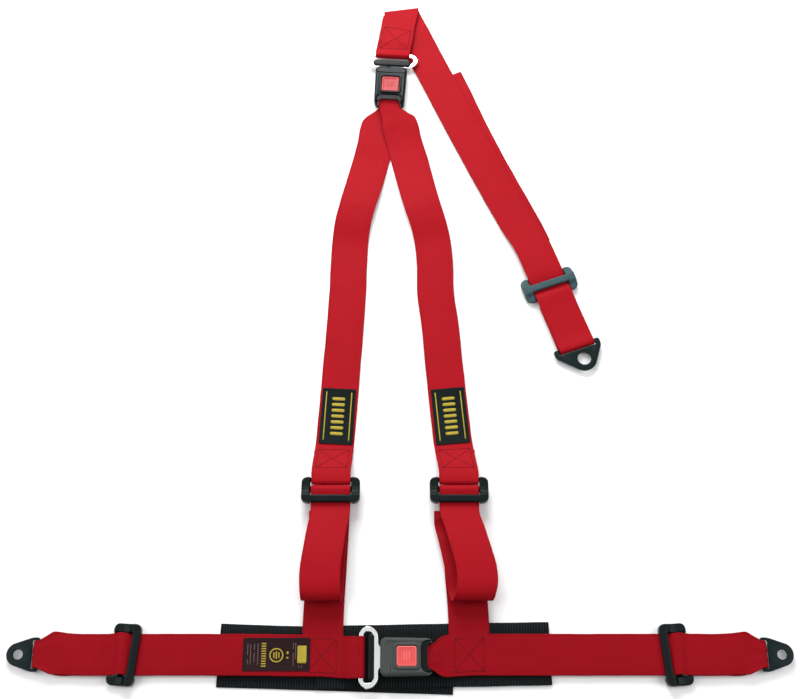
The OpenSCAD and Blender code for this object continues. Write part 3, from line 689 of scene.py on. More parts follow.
def anchor_webbing(side):
    """The doubled belt from under the thick bar, over the other bars, round the plate and back."""
    name = "left" if side < 0 else "right"
    adjuster = middle(f"{name}_lap_adjuster").x
    plate = MOUNTS[f"{name}_lap_bolt"][0] / MM - side * 23
    heading = -90 * side

    def local(x):
        return adjuster - side * x

    rise = 1.65
    route = [(local(THICK_BAR_MID), 0, LAP_Z - 0.1, WEB_W), (local(6.5), 0, LAP_Z - 0.1, WEB_W),
             (local(3.2), 0.4, LAP_Z + 2.0, WEB_W), (local(-1.5), 1.0, LAP_Z + 4.4, WEB_W),
             (local(-7), 1.2, LAP_Z + 3.9, WEB_W), (local(-12), 0.6, LAP_Z + 1.5, WEB_W),
             (local(-18), 0.0, LAP_Z + 0.9, WEB_W), (local(-27), -0.4, LAP_Z + 2.1, WEB_W)]
    route += [(plate - side * 52, -0.2, LAP_Z + rise, WEB_W),
              (plate - side * 34, 0.8, LAP_Z + rise + 0.2, WEB_W),
              (plate - side * 25, 1.6, LAP_Z + 2.2, WEB_W + 1),
              (plate - side * 18.5, 1.6, LAP_Z + 2.8, WEB_W + 1),
              (plate - side * 12, 0.8, LAP_Z + 3.2, 44.0), (plate - side * 6, 0.2, LAP_Z + 3.6, 37.5)]
    extra = [(0, 0)] * 9 + [(0.0, 0.6), (0.1, 1.4), (0.5, 2.0), (0.8, 1.5), (0.8, 0.6)]
    route = [(x, y, z, w, heading, WEB_T, p, lift) for (x, y, z, w), (p, lift) in zip(route, extra)]
    route += [(plate + side * (x - plate), 0, z, 32.0, heading, WEB_T, 0.6, 0.0)
              for x, z in eye(plate, LAP_Z, PLATE_EYE, 90, -90, 20)]
    route += [(plate - side * 8, 0, LAP_Z - 2.6, 38.0, heading),
              (plate - side * 22, 0, LAP_Z - 1.9, 48.0, heading),
              (plate - side * 50, 0, LAP_Z - rise, WEB_W, heading),
              (local(-20), 0, LAP_Z - rise, WEB_W, heading)]
    # The anchor loops take the red webbing with painted shade.
    band = Band(f"{name}_anchor_webbing", route, SHADED_RED, seed=21.0 + side)
    strap = band.build()
    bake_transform(strap)
    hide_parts(f"{name}_anchor_loop")
    return band


# Shoulder belts --------------------------------------------------------------------------------

def shoulder_webbing(name, upper, body, seed):
    """The belt from the top buckle to the adjuster, folded round its far bar and sewn back."""
    x, y = middle(f"{name}_shoulder_adjuster").x, middle(f"{name}_shoulder_adjuster").y
    far = y - (FAR_BAR[0] + FAR_BAR[1]) / 2
    lean_x, lean_y, lean_z = upper[-1][0] - x, upper[-1][1] - y, upper[-1][2]
    lower = [(x, y + 25, SHOULDER_Z - 0.3, WEB_W, 180), (x, far + 1, SHOULDER_Z + 0.8, WEB_W, 180)]
    lower += [(x, far - 3.1 - 2.7 * math.sin(math.radians(a)),
               SHOULDER_Z - 2.8 + 3.4 * math.cos(math.radians(a)), WEB_W, 180)
              for a in (20, 55, 90, 125, 160)]
    lower += [(x, far + 4, SHOULDER_Z - 6.3, WEB_W, 180), (x, y + 25, SHOULDER_Z - 4.4, WEB_W, 180),
              (x + lean_x, y + lean_y, lean_z - 2.0, WEB_W, upper[-1][4]),
              (upper[-2][0], upper[-2][1], upper[-2][2] - 1.7, WEB_W, upper[-2][4]),
              (upper[-2][0] - lean_x * 0.3, upper[-2][1] + 5, upper[-2][2] - 2.9, WEB_W, upper[-2][4])]
    band = Band(f"{name}_shoulder_webbing", upper + lower, RED, seed=seed)
    strap = band.build()
    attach(strap, body)
    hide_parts(f"{name}_shoulder_strap")
    return band


def right_shoulder():
    turn = 270 + TOP_TURN
    bar = turned(TOP_BUCKLE, TOP_TURN, BELT_BAR_X)
    narrow = BUCKLE_BELT_W
    route = [turned(TOP_BUCKLE, TOP_TURN, BELT_BAR_X + 8) + (TOP_BUCKLE.z - 2.2, narrow, turn)]
    route += [turned(TOP_BUCKLE, TOP_TURN, x) + (z, narrow, turn) for x, z in
              eye(BELT_BAR_X, TOP_BUCKLE.z, BELT_BAR_EYE, -35, -325, 24)]
    z = RIGHT_YOKE_Z
    route += [turned(TOP_BUCKLE, TOP_TURN, BELT_BAR_X + 8)
              + (TOP_BUCKLE.z + 1.9, narrow, turn, WEB_T, 0.5, 0.4),
              (bar[0] + 2.4, bar[1] - 13, TOP_BUCKLE.z + 0.8, 32, 179, WEB_T, 1.0, 1.0),
              (bar[0] + 6.5, bar[1] - 19, 8.2, 39, 181, WEB_T, 0.8, 1.6),
              (bar[0] + 12.4, bar[1] - 26, 8.0, 46.5, 184, WEB_T, 0.3, 1.6),
              (bar[0] + 15.4, bar[1] - 38, 7.0, WEB_W + 1, 188, WEB_T, 0.0, 1.4),
              (5, FOLD_Y - 222, z + 1.0, WEB_W + 1, 193, WEB_T, 0, 1.0),
              (14, FOLD_Y - 257, z + 0.3, WEB_W + 2, 195, WEB_T, 0, 0.6),
              (26, FOLD_Y - 310, z + 4.6, WEB_W + 1, 196),
              (31, FOLD_Y - 330, z + 6.4, WEB_W + 0.5, 195, WEB_T, 0, 0.8),
              (37.6, FOLD_Y - 352, z + 5.0, WEB_W, 192), (44.6, FOLD_Y - 382, z + 0.8, WEB_W, 187),
              (47.6, FOLD_Y - 412, z + 0.3, WEB_W, 183, WEB_T, 0, 0.6),
              (48.6, 480, z + 0.4, WEB_W, 183), (53.5, 440, z + 0.2, WEB_W, 185, WEB_T, 0, 0.4),
              (58.4, 380, z, WEB_W, 185), (65.7, 300, z, WEB_W, 185), (69.4, 266, z + 0.1, WEB_W, 184),
              (71.4, 254, z + 3.2, WEB_W, 183), (73.4, 241, z + 8.6, WEB_W, 181.5)]
    return shoulder_webbing("right", route, "yoke", 31.0)


def left_shoulder():
    turn = 270 + TOP_TURN
    bar = turned(TOP_BUCKLE, TOP_TURN, BELT_BAR_X)
    z = LEFT_YOKE_Z
    route = [turned(TOP_BUCKLE, TOP_TURN, BELT_BAR_X + 7) + (TOP_BUCKLE.z - 4.9, 25, turn),
             (bar[0] - 4, bar[1] - 13, 2.8, 31, 178, WEB_T, 0.3, 0.6),
             (bar[0] - 9, bar[1] - 21, 2.2, 41, 175, WEB_T, 0.2, 0.8),
             (bar[0] - 13.5, bar[1] - 30, 1.7, 48, 172), (-31.8, 741, z + 0.2, WEB_W + 1, 169),
             (-36, FOLD_Y - 231, z, WEB_W + 1, 167),
             (-41.4, FOLD_Y - 257, z, WEB_W + 1.5, 166, WEB_T, 0, 0.5),
             (-54, FOLD_Y - 310, z + 5.4, WEB_W + 1, 166),
             (-59.6, FOLD_Y - 332, z + 7.4, WEB_W, 168, WEB_T, 0, 0.8),
             (-64.8, FOLD_Y - 354, z + 5.8, WEB_W, 172), (-68.6, FOLD_Y - 384, z + 0.9, WEB_W, 176),
             (-70, FOLD_Y - 418, z + 0.3, WEB_W, 178, WEB_T, 0, 0.6), (-71.6, 475, z + 0.4, WEB_W, 178),
             (-74, 430, z + 0.3, WEB_W, 177.5, WEB_T, 0, 0.4), (-78.2, 365, z + 0.1, WEB_W, 177.5),
             (-82.2, 300, z, WEB_W, 177.5), (-84.8, 266, z + 0.1, WEB_W, 178),
             (-85.8, 254, z + 3.6, WEB_W, 178.6), (-87, 241, z + 9.6, WEB_W, 179.3)]
    return shoulder_webbing("left", route, "left_yoke", 37.0)


def centre_bar_wrap(x, y, toward_top):
    """The belt round the adjuster's centre bar, from its side in the slot to one face."""
    slot_y = y - CENTRE_BAR[0] + 1.5
    if toward_top:
        return [(x, slot_y, SHOULDER_Z - 3.0, WEB_W, 0), (x, slot_y - 0.3, SHOULDER_Z - 1.4, WEB_W, 0),
                (x, slot_y - 1.9, SHOULDER_Z + 1.2, WEB_W, 0), (x, y + 1.5, SHOULDER_Z + 2.0, WEB_W, 0),
                (x, y - 2.5, SHOULDER_Z + 1.1, WEB_W, 0), (x, y - 6.5, SHOULDER_Z - 0.1, WEB_W, 0)]
    return [(x, slot_y, SHOULDER_Z - 3.0, WEB_W, 0), (x, slot_y - 0.4, SHOULDER_Z - 4.8, WEB_W, 0),
            (x, slot_y - 2.6, SHOULDER_Z - 6.2, WEB_W, 0)]


def lower_webbing(name, top_x, sewn_x):
    """The belt from under the adjuster's centre bar down to the lap belt, where it is sewn."""
    y = middle(f"{name}_shoulder_adjuster").y
    route = centre_bar_wrap(top_x, y, False)
    route += [(top_x, y - 8, SHOULDER_Z - 6.9, WEB_W, 0), (top_x, y - 22, LOWER_Z + 1.6, WEB_W, 0),
              (top_x + (sewn_x - top_x) * 0.15, 165, LOWER_Z + 0.2, WEB_W, 0),
              (top_x + (sewn_x - top_x) * 0.55, 110, LOWER_Z, WEB_W, 1.5 if sewn_x > top_x else -1.5),
              (sewn_x, 50, LOWER_Z, WEB_W, 0), (sewn_x, -22, LOWER_Z, WEB_W, 0)]
    route = [s[:4] + (s[4] + 180,) for s in route]
    # The lower belts take the red webbing with painted shade.
    band = Band(f"{name}_lower_webbing", route, SHADED_RED, seed=43.0 + sewn_x)
    strap = band.build()
    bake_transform(strap)
    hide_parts(f"{name}_lower_strap")
    return band


BIGHT_Y, BIGHT_R = 80.0, 11.0


def tail_webbing(name, x, front_x, back_x):
    """The free end: out under the thick bar, down in a round bight and back up behind."""
    y = middle(f"{name}_shoulder_adjuster").y
    bight_z = TAIL_FLOOR + BIGHT_R
    up_z = bight_z + BIGHT_R
    route = centre_bar_wrap(x, y, True)
    route += [(x, y - 12, SHOULDER_Z - 0.2, WEB_W, 0), (x, y - 19, SHOULDER_Z + 0.2, WEB_W, 0),
              (x, 176, SHOULDER_Z + 2.2, WEB_W, 0),
              (x + (front_x - x) * 0.3, 155, SHOULDER_Z + 7.4, WEB_W, 0),
              (x + (front_x - x) * 0.7, 126, SHOULDER_Z + 13.2, WEB_W, 0),
              (front_x, BIGHT_Y + 22, up_z - 0.3, WEB_W, 0)]
    route += [(front_x + (back_x - front_x) * (80 - a) / 420,
               BIGHT_Y - BIGHT_R * 1.5 * math.cos(math.radians(a)),
               bight_z + BIGHT_R * math.sin(math.radians(a)), WEB_W, 0) for a in range(80, -81, -20)]
    end_y = y - 26
    hem = WEB_T * 1.9
    route += [(front_x + (back_x - front_x) * 0.5, BIGHT_Y + 22, TAIL_FLOOR + 0.2, WEB_W, 0),
              (front_x + (back_x - front_x) * 0.8, BIGHT_Y + 60, TAIL_FLOOR, WEB_W, 0),
              (back_x, end_y - 13, TAIL_FLOOR, WEB_W, 0),
              (back_x, end_y - 11.5, TAIL_FLOOR + 0.3, WEB_W, 0, WEB_T + 0.6),
              (back_x, end_y - 10.5, TAIL_FLOOR + 0.5, WEB_W, 0, hem),
              (back_x, end_y, TAIL_FLOOR + 0.5, WEB_W, 0, hem)]
    route = [s[:4] + (s[4] + 180,) + s[5:] for s in route]
    band = Band(f"{name}_tail_webbing", route, RED, seed=53.0 + x)
    strap = band.build()
    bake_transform(strap)
    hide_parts(f"{name}_strap_tail")
    return band


# Rear belt -------------------------------------------------------------------------------------

FOLD_X, FOLD_RISE = 2.0, 8.2


def rear_point(d, z):
    return turned(REAR_ADJUSTER, REAR_TURN, d) + (z,)


def rear_webbing():
    """The belt sewn round the top tongue's bar, up over the fold and down to the rear adjuster."""
    bar = turned(TOP_BUCKLE, TOP_TURN, RING_BAR_X)
    run = (FOLD_X - bar[0], FOLD_Y - bar[1])
    lean = math.degrees(math.atan2(run[1], run[0])) - 90
    buckle_heading = 90 + TOP_TURN
    z = TOP_BUCKLE.z

    def along(t, height, heading):
        return (bar[0] + run[0] * t, bar[1] + run[1] * t, height, WEB_W, heading)

    half_turn = (lean + buckle_heading) / 2
    route = [along(0.55, z - 2.6, lean), along(0.3, z - 1.5, half_turn)]
    route += [turned(TOP_BUCKLE, TOP_TURN, x) + (height, WEB_W, buckle_heading) for x, height in
              eye(RING_BAR_X, z, RING_EYE, -140, 140, 20)]
    route += [along(0.3, z + 1.5, half_turn), along(0.55, z + 0.5, lean), along(0.8, 7.2, lean),
              (FOLD_X, FOLD_Y - 7, 6.6, WEB_W + 0.6, 4), (FOLD_X, FOLD_Y - 0.6, 6.0, 51.5, FOLD_RISE),
              (FOLD_X, FOLD_Y + 1.3, 4.5, 51.5, FOLD_RISE), (FOLD_X, FOLD_Y - 0.4, 3.0, 51.5, FOLD_RISE),
              (FOLD_X + 2, FOLD_Y - 6, REAR_Z + 0.2, WEB_W + 0.8, 13), (20, FOLD_Y - 42, REAR_Z, WEB_W, 24.4),
              (94, FOLD_Y - 208, REAR_Z, WEB_W, 24.4), (143, FOLD_Y - 314, REAR_Z + 0.4, WEB_W, 24.2),
              (164.4, FOLD_Y - 358, REAR_Z + 1.2, WEB_W, 23.4)]
    for d, height in ((-62, LAP_Z + 0.6), (-36, LAP_Z + 2.0), (-20, LAP_Z + 2.4), (-14, LAP_Z + 2.0),
                      (-9, LAP_Z + 0.9), (-5.5, LAP_Z - 0.1), (0, LAP_Z - 0.2)):
        route.append(rear_point(d, height) + (WEB_W, REAR_TURN + 90))
    band = Band("rear_webbing", route, RED, seed=61.0)
    strap = band.build()
    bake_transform(strap)
    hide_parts("rear_strap")
    return band


def rear_tail():
    """The belt's free end, lying behind the rear belt with its hem showing at one side."""
    route = [(66.5, FOLD_Y - 115, 24.4), (72, FOLD_Y - 128, 24.4), (103.5, FOLD_Y - 208, 24.4),
             (133, FOLD_Y - 276, 24.2), (161, FOLD_Y - 336, 24), (179, FOLD_Y - 376, 22.6),
             (184.5, FOLD_Y - 390, 22)]
    full = [(x, y, REAR_TAIL_Z, WEB_W, heading) for x, y, heading in route]
    band = Band("rear_tail_webbing", full, RED, seed=67.0)
    strap = band.build()
    finish(strap, "rear_belt", "red_webbing", "rear_strap_tail")
    return band


def rear_anchor_webbing():
    """The doubled belt from under the rear adjuster's middle bar round the plate and back."""
    heading = REAR_TURN + 90
    bar = 116 - 19.5
    route = []
    for d, height in ((0, -0.2), (5.5, -0.1), (9, 1.1), (14, 2.6), (20, 2.7), (32, 2.0), (60, 1.7), (78, 1.9),
                      (88, 2.9), (92.5, 3.7)):
        route.append(rear_point(d, LAP_Z + height) + (WEB_W, heading))
    route += [rear_point(x, z) + (WEB_W - 1, heading) for x, z in eye(bar, LAP_Z, PLATE_EYE, 80, -100, 20)]
    for d, height in ((90, -2.6), (78, -1.8), (50, -1.65), (26, -1.65)):
        route.append(rear_point(d, LAP_Z + height) + (WEB_W, heading))
    band = Band("rear_anchor_webbing", route, RED, seed=71.0)
    strap = band.build()
    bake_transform(strap)
    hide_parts("rear_anchor_loop")
    return band


# Hardware --------------------------------------------------------------------------------------

ADJUSTER_L, ADJUSTER_W, SLOT_W = 34.0, 74.5, 51.8
BAR_UP, LIP = 6.2, 1.0


def rail(over, low_end=1.6, shoulder=2.4):
    """One side rail of an adjuster: sections along X, rounded at its corners and outer end."""
    half = ADJUSTER_L / 2
    inner, outer = SLOT_W / 2, ADJUSTER_W / 2
    corner = 7.0
    layers = []
    count = 34
    for i in range(count + 1):
        x = -half + ADJUSTER_L * i / count
        into = max(0.0, abs(x) - (half - corner))
        reach = outer - corner + math.sqrt(max(corner**2 - into**2, 0.0)) if into else outer
        reach = max(reach, inner + 1.6)
        if over[0] <= x <= over[1]:
            top = BAR_UP
        else:
            away = over[0] - x if x < over[0] else x - over[1]
            top = shoulder + (BAR_UP - shoulder) * max(0.0, 1 - away / 5) if away < 5 else (
                shoulder + (low_end - shoulder) * min(1.0, (away - 5) / 7))
        mid_y, mid_z = (inner + reach) / 2, (top - RAIL_DOWN) / 2
        ring = rounded_outline((reach - inner) / 2, (top + RAIL_DOWN) / 2,
                               min(1.6, (reach - inner) / 2 - 0.1), 3)
        layers.append([(x, mid_y + a, mid_z + b) for a, b in ring])
    return loft(layers)


def mirrored_y(solid):
    verts, faces = solid
    return [(x, -y, z) for x, y, z in verts], [tuple(reversed(f)) for f in faces]


def cross_bar(x_low, x_high, z_low, z_high, radius):
    """A bar across the belt, let into both rails."""
    half_x, half_z = (x_high - x_low) / 2, (z_high - z_low) / 2
    reach = SLOT_W / 2 + 2.0
    outline = rounded_outline(half_x, half_z, min(radius, half_x - 0.05, half_z - 0.05), 4)
    ends = [[(x + (x_low + x_high) / 2, y, z + (z_low + z_high) / 2) for x, z in outline]
            for y in (reach, -reach)]
    return loft(ends)


def adjuster_model(over, under):
    """A three-bar adjuster: two side rails, one bar raised over the belt and two bars under it."""
    solids = [rail(over), mirrored_y(rail(over)), cross_bar(over[0], over[1], LIP, BAR_UP, 2.0)]
    solids += [cross_bar(a, b, -RAIL_DOWN, -LIP, 1.4) for a, b in under]
    model = piece("adjuster_model", *gather(solids), BLACK_METAL)
    return melt(model, 0.55, 5)


def adjusters():
    half = ADJUSTER_L / 2
    end_bar = adjuster_model((half - 10, half), (FAR_BAR, CENTRE_BAR))
    mid_bar = adjuster_model((-5, 5), (FAR_BAR, (half - 5.5, half)))
    lap = {"left": (ADJUSTER_TILT * -1, 0), "right": (ADJUSTER_TILT, 180)}
    for name, (tilt, turn) in lap.items():
        x = middle(f"{name}_lap_adjuster").x
        made = settle(end_bar, f"{name}_lap_slide", frame_at((x, 0, LAP_Z), turn + tilt), BLACK_METAL)
        finish(made, f"{name}_adjuster", "black_hardware", f"{name}_lap_adjuster")
    for name, body in (("left", "left_yoke"), ("right", "yoke")):
        where = middle(f"{name}_shoulder_adjuster")
        made = settle(end_bar, f"{name}_shoulder_slide", frame_at((where.x, where.y, SHOULDER_Z), -90),
                      BLACK_METAL)
        finish(made, body, "black_hardware", f"{name}_shoulder_adjuster")
    made = settle(mid_bar, "rear_slide_frame", frame_at(REAR_ADJUSTER, REAR_TURN), GREY_METAL)
    finish(made, "rear_slide", "black_hardware", "rear_adjuster")
    for model in (end_bar, mid_bar):
        bpy.data.objects.remove(model)


def stamped(name, outlines, thickness, bevel, material, matrix):
    """A flat plate from closed outlines, the first outside and the rest holes, with rounded edges."""
    curve = bpy.data.curves.new(name, "CURVE")
    curve.dimensions, curve.fill_mode = "2D", "BOTH"
    curve.extrude, curve.bevel_depth = thickness / 2 - bevel, bevel
    curve.bevel_resolution, curve.offset = 3, -bevel
    for outline in outlines:
        spline = curve.splines.new("POLY")
        spline.points.add(len(outline) - 1)
        for point, (x, y) in zip(spline.points, outline):
            point.co = (x, y, 0, 1)
        spline.use_cyclic_u = True
    made = bpy.data.objects.new(name, curve)
    bpy.context.scene.collection.objects.link(made)
    bpy.context.view_layer.update()
    mesh = bpy.data.meshes.new_from_object(made.evaluated_get(bpy.context.evaluated_depsgraph_get()))
    bpy.data.objects.remove(made)
    mesh.transform(matrix)
    obj = bpy.data.objects.new(name, mesh)
    bpy.context.scene.collection.objects.link(obj)
    weld = obj.modifiers.new("weld", "WELD")
    weld.merge_threshold = 0.00001
    apply_modifiers(obj)
    obj.data.materials.clear()
    obj.data.materials.append(material)
    for polygon in obj.data.polygons:
        polygon.use_smooth = True
    obj.data.set_sharp_from_angle(angle=math.radians(50))
    return obj


def circle(radius, x=0.0, y=0.0, count=48):
    return [(x + radius * math.cos(math.tau * k / count), y + radius * math.sin(math.tau * k / count))
            for k in range(count)]


def moved(outline, x, y=0.0):
    return [(a + x, b + y) for a, b in outline]


def plate_outline(bar_x, bar_y, wide, tip_r, slot):
    """The anchor plate's edge: two rounded ears joined to a round tip by straight edges."""
    back, bar = bar_x + 2.5, 5.0
    front = back - bar - slot - 3.0
    corner = 3.0

    def ear(s):
        return [(front, bar_y + s * (wide / 2 - 1)), (front + 4, bar_y + s * wide / 2)]

    def rounded_corner(s):
        centre = (back - corner, bar_y + s * (wide / 2 - corner))
        turn = [centre[0] + corner * math.sin(math.radians(a)) for a in range(0, 91, 15)]
        rise = [centre[1] + s * corner * math.cos(math.radians(a)) for a in range(0, 91, 15)]
        return list(zip(turn, rise))

    def meets(s):
        x, y = ear(s)[0]
        return math.degrees(math.atan2(y, x)) + s * math.degrees(math.acos(tip_r / math.hypot(x, y)))

    start, turn = meets(1), 360 + meets(-1) - meets(1)
    angles = [math.radians(start + turn * k / 30) for k in range(31)]
    tip = [(tip_r * math.cos(a), tip_r * math.sin(a)) for a in angles]
    upper = ear(1) + rounded_corner(1)
    lower = ear(-1) + rounded_corner(-1)
    return list(reversed(upper)) + tip + lower


def anchor_plates():
    for name, turn in (("left", 0), ("right", 180)):
        hole = MOUNTS[f"{name}_lap_bolt"]
        at = frame_at((hole[0] / MM, 0, LAP_Z), turn)
        outlines = [plate_outline(23, 0, 41, 14, 3.8), circle(6),
                    moved(rounded_outline(1.9, 17, 1.5, 4), 23 - 2.5 - 1.9)]
        made = stamped(f"{name}_anchor_plate_steel", outlines, 3.0, 0.55, PLATE_METAL, at)
        finish(made, f"{name}_plate", "coated_steel", f"{name}_anchor_plate")
    hole = MOUNTS["rear_bolt"]
    at = frame_at((hole[0] / MM, hole[1] / MM - LINE_Y, LAP_Z), REAR_TURN + 180)
    outlines = [plate_outline(19.5, 3.2, 65, 17, 3.4), circle(9),
                moved(rounded_outline(1.7, 26, 1.5, 4), 19.5 - 2.5 - 1.7, 3.2)]
    made = stamped("rear_anchor_plate_steel", outlines, 3.0, 0.55, PLATE_METAL, at)
    finish(made, "rear_plate", "coated_steel", "rear_anchor_plate")


# Buckles ---------------------------------------------------------------------------------------

BLADE_W, BLADE_END = 24.0, 5.0
RING_BOW = 2.4
MOUTH_X = -BUCKLE_L / 2
WINDOW = (-13.0, 9.0, 13.0)


def tongue_outlines():
    """The tongue's oval ring with its blade, the belt slot and the latch window."""
    plate_l = MOUTH_X - 1.5 - RING_OUT
    mid, end = RING_OUT + plate_l / 2, RING_W / 2
    r = plate_l / 2
    right = MOUTH_X - 1.5
    half = BLADE_W / 2
    edge = [(right, -half - 4), (right + 1.2, -half - 1.2), (right + 4, -half)]
    blade = rounded_outline(6, half, 3, 5)
    quarter = len(blade) // 4
    nose = [(x + BLADE_END - 6, y) for x, y in blade[3 * quarter:] + blade[:quarter]]
    back = [(x, -y) for x, y in reversed(edge)]
    upper = [(mid + r * math.cos(math.radians(a)), end - r + r * math.sin(math.radians(a)))
             for a in range(0, 181, 10)]
    lower = [(mid + r * math.cos(math.radians(a)), -(end - r) + r * math.sin(math.radians(a)))
             for a in range(180, 361, 10)]
    outside = edge + nose + back + upper + lower
    slot = moved(rounded_outline(RING_SLOT / 2, (RING_W - 13) / 2, 5, 6), RING_OUT + RING_BAR + RING_SLOT / 2)
    window = moved(rounded_outline(WINDOW[1] / 2, WINDOW[2] / 2, 1, 3), WINDOW[0] + WINDOW[1] / 2)
    return [bowed(outside), bowed(slot), window]


def bowed(outline):
    """Bends the ring's front bar a little towards the buckle in its middle."""
    return [(x - RING_BOW * (2 * y / RING_W) ** 2 if x > RING_BAR_X + 6 else x, y) for x, y in outline]


LININGS = {"lap": (-43.0, 3.9), "top": (-40.6, 5.4)}
LINING_H = 3.3


def lining_model(x, half_x):
    """The round plastic lining that the webbing bears against."""
    solid = pillow(half_x, (RING_W - 19) / 2, half_x - 0.1, -LINING_H + 0.3, LINING_H, 2.6, 6)
    return piece("lining_model", *shifted(solid, x), BLACK_PLASTIC)


def case_ring(inset, z, top_of=None):
    """The buckle's outline at one height, drawn in at the belt's end."""
    l, w = BUCKLE_L / 2 - inset, BUCKLE_W / 2 - inset
    ring = []
    for x, y in rounded_outline(l, w, 6, 8):
        narrow = 1 - 0.12 * max(0.0, (x - 14) / 18) ** 1.6 - 0.04 * max(0.0, (-20 - x) / 12)
        height = z if top_of is None else z * top_of(x) / BUCKLE_UP
        ring.append((x, y * narrow, height))
    return ring


def case_top(x):
    """Height of the case's top along its length."""
    if x < -17:
        return BUCKLE_UP - 3.0 * ((-17 - x) / 15) ** 1.3
    if x > 15:
        return BUCKLE_UP - 3.0 * ((x - 15) / 17) ** 1.5
    return BUCKLE_UP


def box_solid(x_low, x_high, half_y, z_low, z_high, radius=0.6):
    solid = pillow((x_high - x_low) / 2, half_y, radius, z_low, z_high, 0.3, 1)
    return shifted(solid, (x_low + x_high) / 2)


def upper_case():
    """The buckle's upper shell: crowned top, raised bezel round the button, arched belt mouth."""
    levels = [(0.0, 0.0), (0.0, 4.0), (0.1, 7.0), (0.5, 8.6), (1.3, 9.8), (2.6, 10.4), (4.4, 10.5)]
    body = piece("upper_case", *loft([case_ring(i, z, case_top) for i, z in levels]), GREY_SHELL)
    bezel = pillow(15.2, 15.6, 4.5, 8.5, 11.1, 0.9, 3)
    band = [shifted(pillow(2.0, 17.0, 1.2, 6.0, 8.9, 0.5, 2), -25.0)]
    verts, faces = gather([bezel] + band)
    add = piece("bezel", verts, faces, GREY_SHELL)
    join = body.modifiers.new("bezel", "BOOLEAN")
    join.operation, join.solver, join.object = "UNION", "EXACT", add
    apply_modifiers(body)
    bpy.data.objects.remove(add)
    inside = loft([case_ring(1.8, z) for z in (-1.0, 7.0)])
    window = pillow(12.45, 12.45, 3.0, 3.0, 14.0, 0.2, 1)
    flare = loft([[(x, y, 10.0) for x, y in rounded_outline(12.4, 12.4, 3, 6)],
                  [(x, y, 11.4) for x, y in rounded_outline(13.6, 13.6, 4, 6)]])
    skirt = pillow(14.1, 14.1, 3.0, 2.0, 8.7, 0.2, 1)
    tongue_way = box_solid(MOUTH_X - 3, BLADE_END, BLADE_W / 2 + 1.7, -3, TONGUE_T / 2 + 0.6)
    arch = shifted(pillow(14.5, 19.6, 9.0, -2.0, 14.0, 0.2, 1), 31.5)
    groove = shifted(pillow(0.45, 30.0, 0.3, 8.3, 14.0, 0.1, 1), -19.5)
    return carve(body, [inside, window, flare, skirt, tongue_way, arch, groove])


def lower_case():
    """The buckle's lower shell, with a rounded underside."""
    levels = [(2.6, -BUCKLE_DOWN), (1.2, -7.6), (0.5, -6.8), (0.35, -5.5), (0.35, -0.35)]
    body = piece("lower_case", *loft([case_ring(i, z) for i, z in levels]), GREY_SHELL)
    inside = loft([case_ring(1.9, z) for z in (-6.2, 2.0)])
    tongue_way = box_solid(MOUTH_X - 3, BLADE_END, BLADE_W / 2 + 1.7, -TONGUE_T / 2 - 0.6, 3)
    belt_way = box_solid(17, 40, 17.2, -6.2, 6)
    return carve(body, [inside, tongue_way, belt_way])


def mouth_painted_shade():
    """Black piece in the belt's mouth, arched over the belt: painted shade standing in for the shadowed
    inside of the case.
    """
    layers = [[(x, y, z) for x, y in rounded_outline(7.6 - i, 19.4 - i, 6.0, 6)]
              for i, z in ((0.0, -0.2), (0.0, 5.8), (0.5, 7.2), (1.6, 7.8))]
    body = piece("mouth_painted_shade", *shifted(loft(layers), 23.2), BLACK_PLASTIC)
    belt_way = box_solid(14, 40, 16.6, -3, 6.1)
    arch = shifted(pillow(9.0, 16.0, 7.5, -2.0, 14.0, 0.2, 1), 34.0)
    return carve(body, [belt_way, arch])


def button_model():
    """A square button with a dished top, a raised rim made paler by the material's scuffed and
    painted-highlight edges, and three plain grip ridges.
    """
    levels = [(0.0, 6.9), (0.0, 9.2), (0.35, 9.9), (1.0, 10.2), (1.7, 10.05), (2.4, 9.85), (5.0, 9.75)]
    side = 11.95
    layers = [[(x, y, z) for x, y in rounded_outline(side - i, side - i, max(2.8 - i * 0.5, 0.6), 6)]
              for i, z in levels]
    cap = loft(layers)
    skirt = pillow(13.4, 13.4, 3.0, 6.7, 8.4, 0.3, 2)
    ridges = [shifted(pillow(0.55, 5.5, 0.5, 9.2, 10.15, 0.35, 2), x) for x in (-3.2, 0.0, 3.2)]
    return piece("button_model", *gather([cap, skirt] + ridges), CORAL)


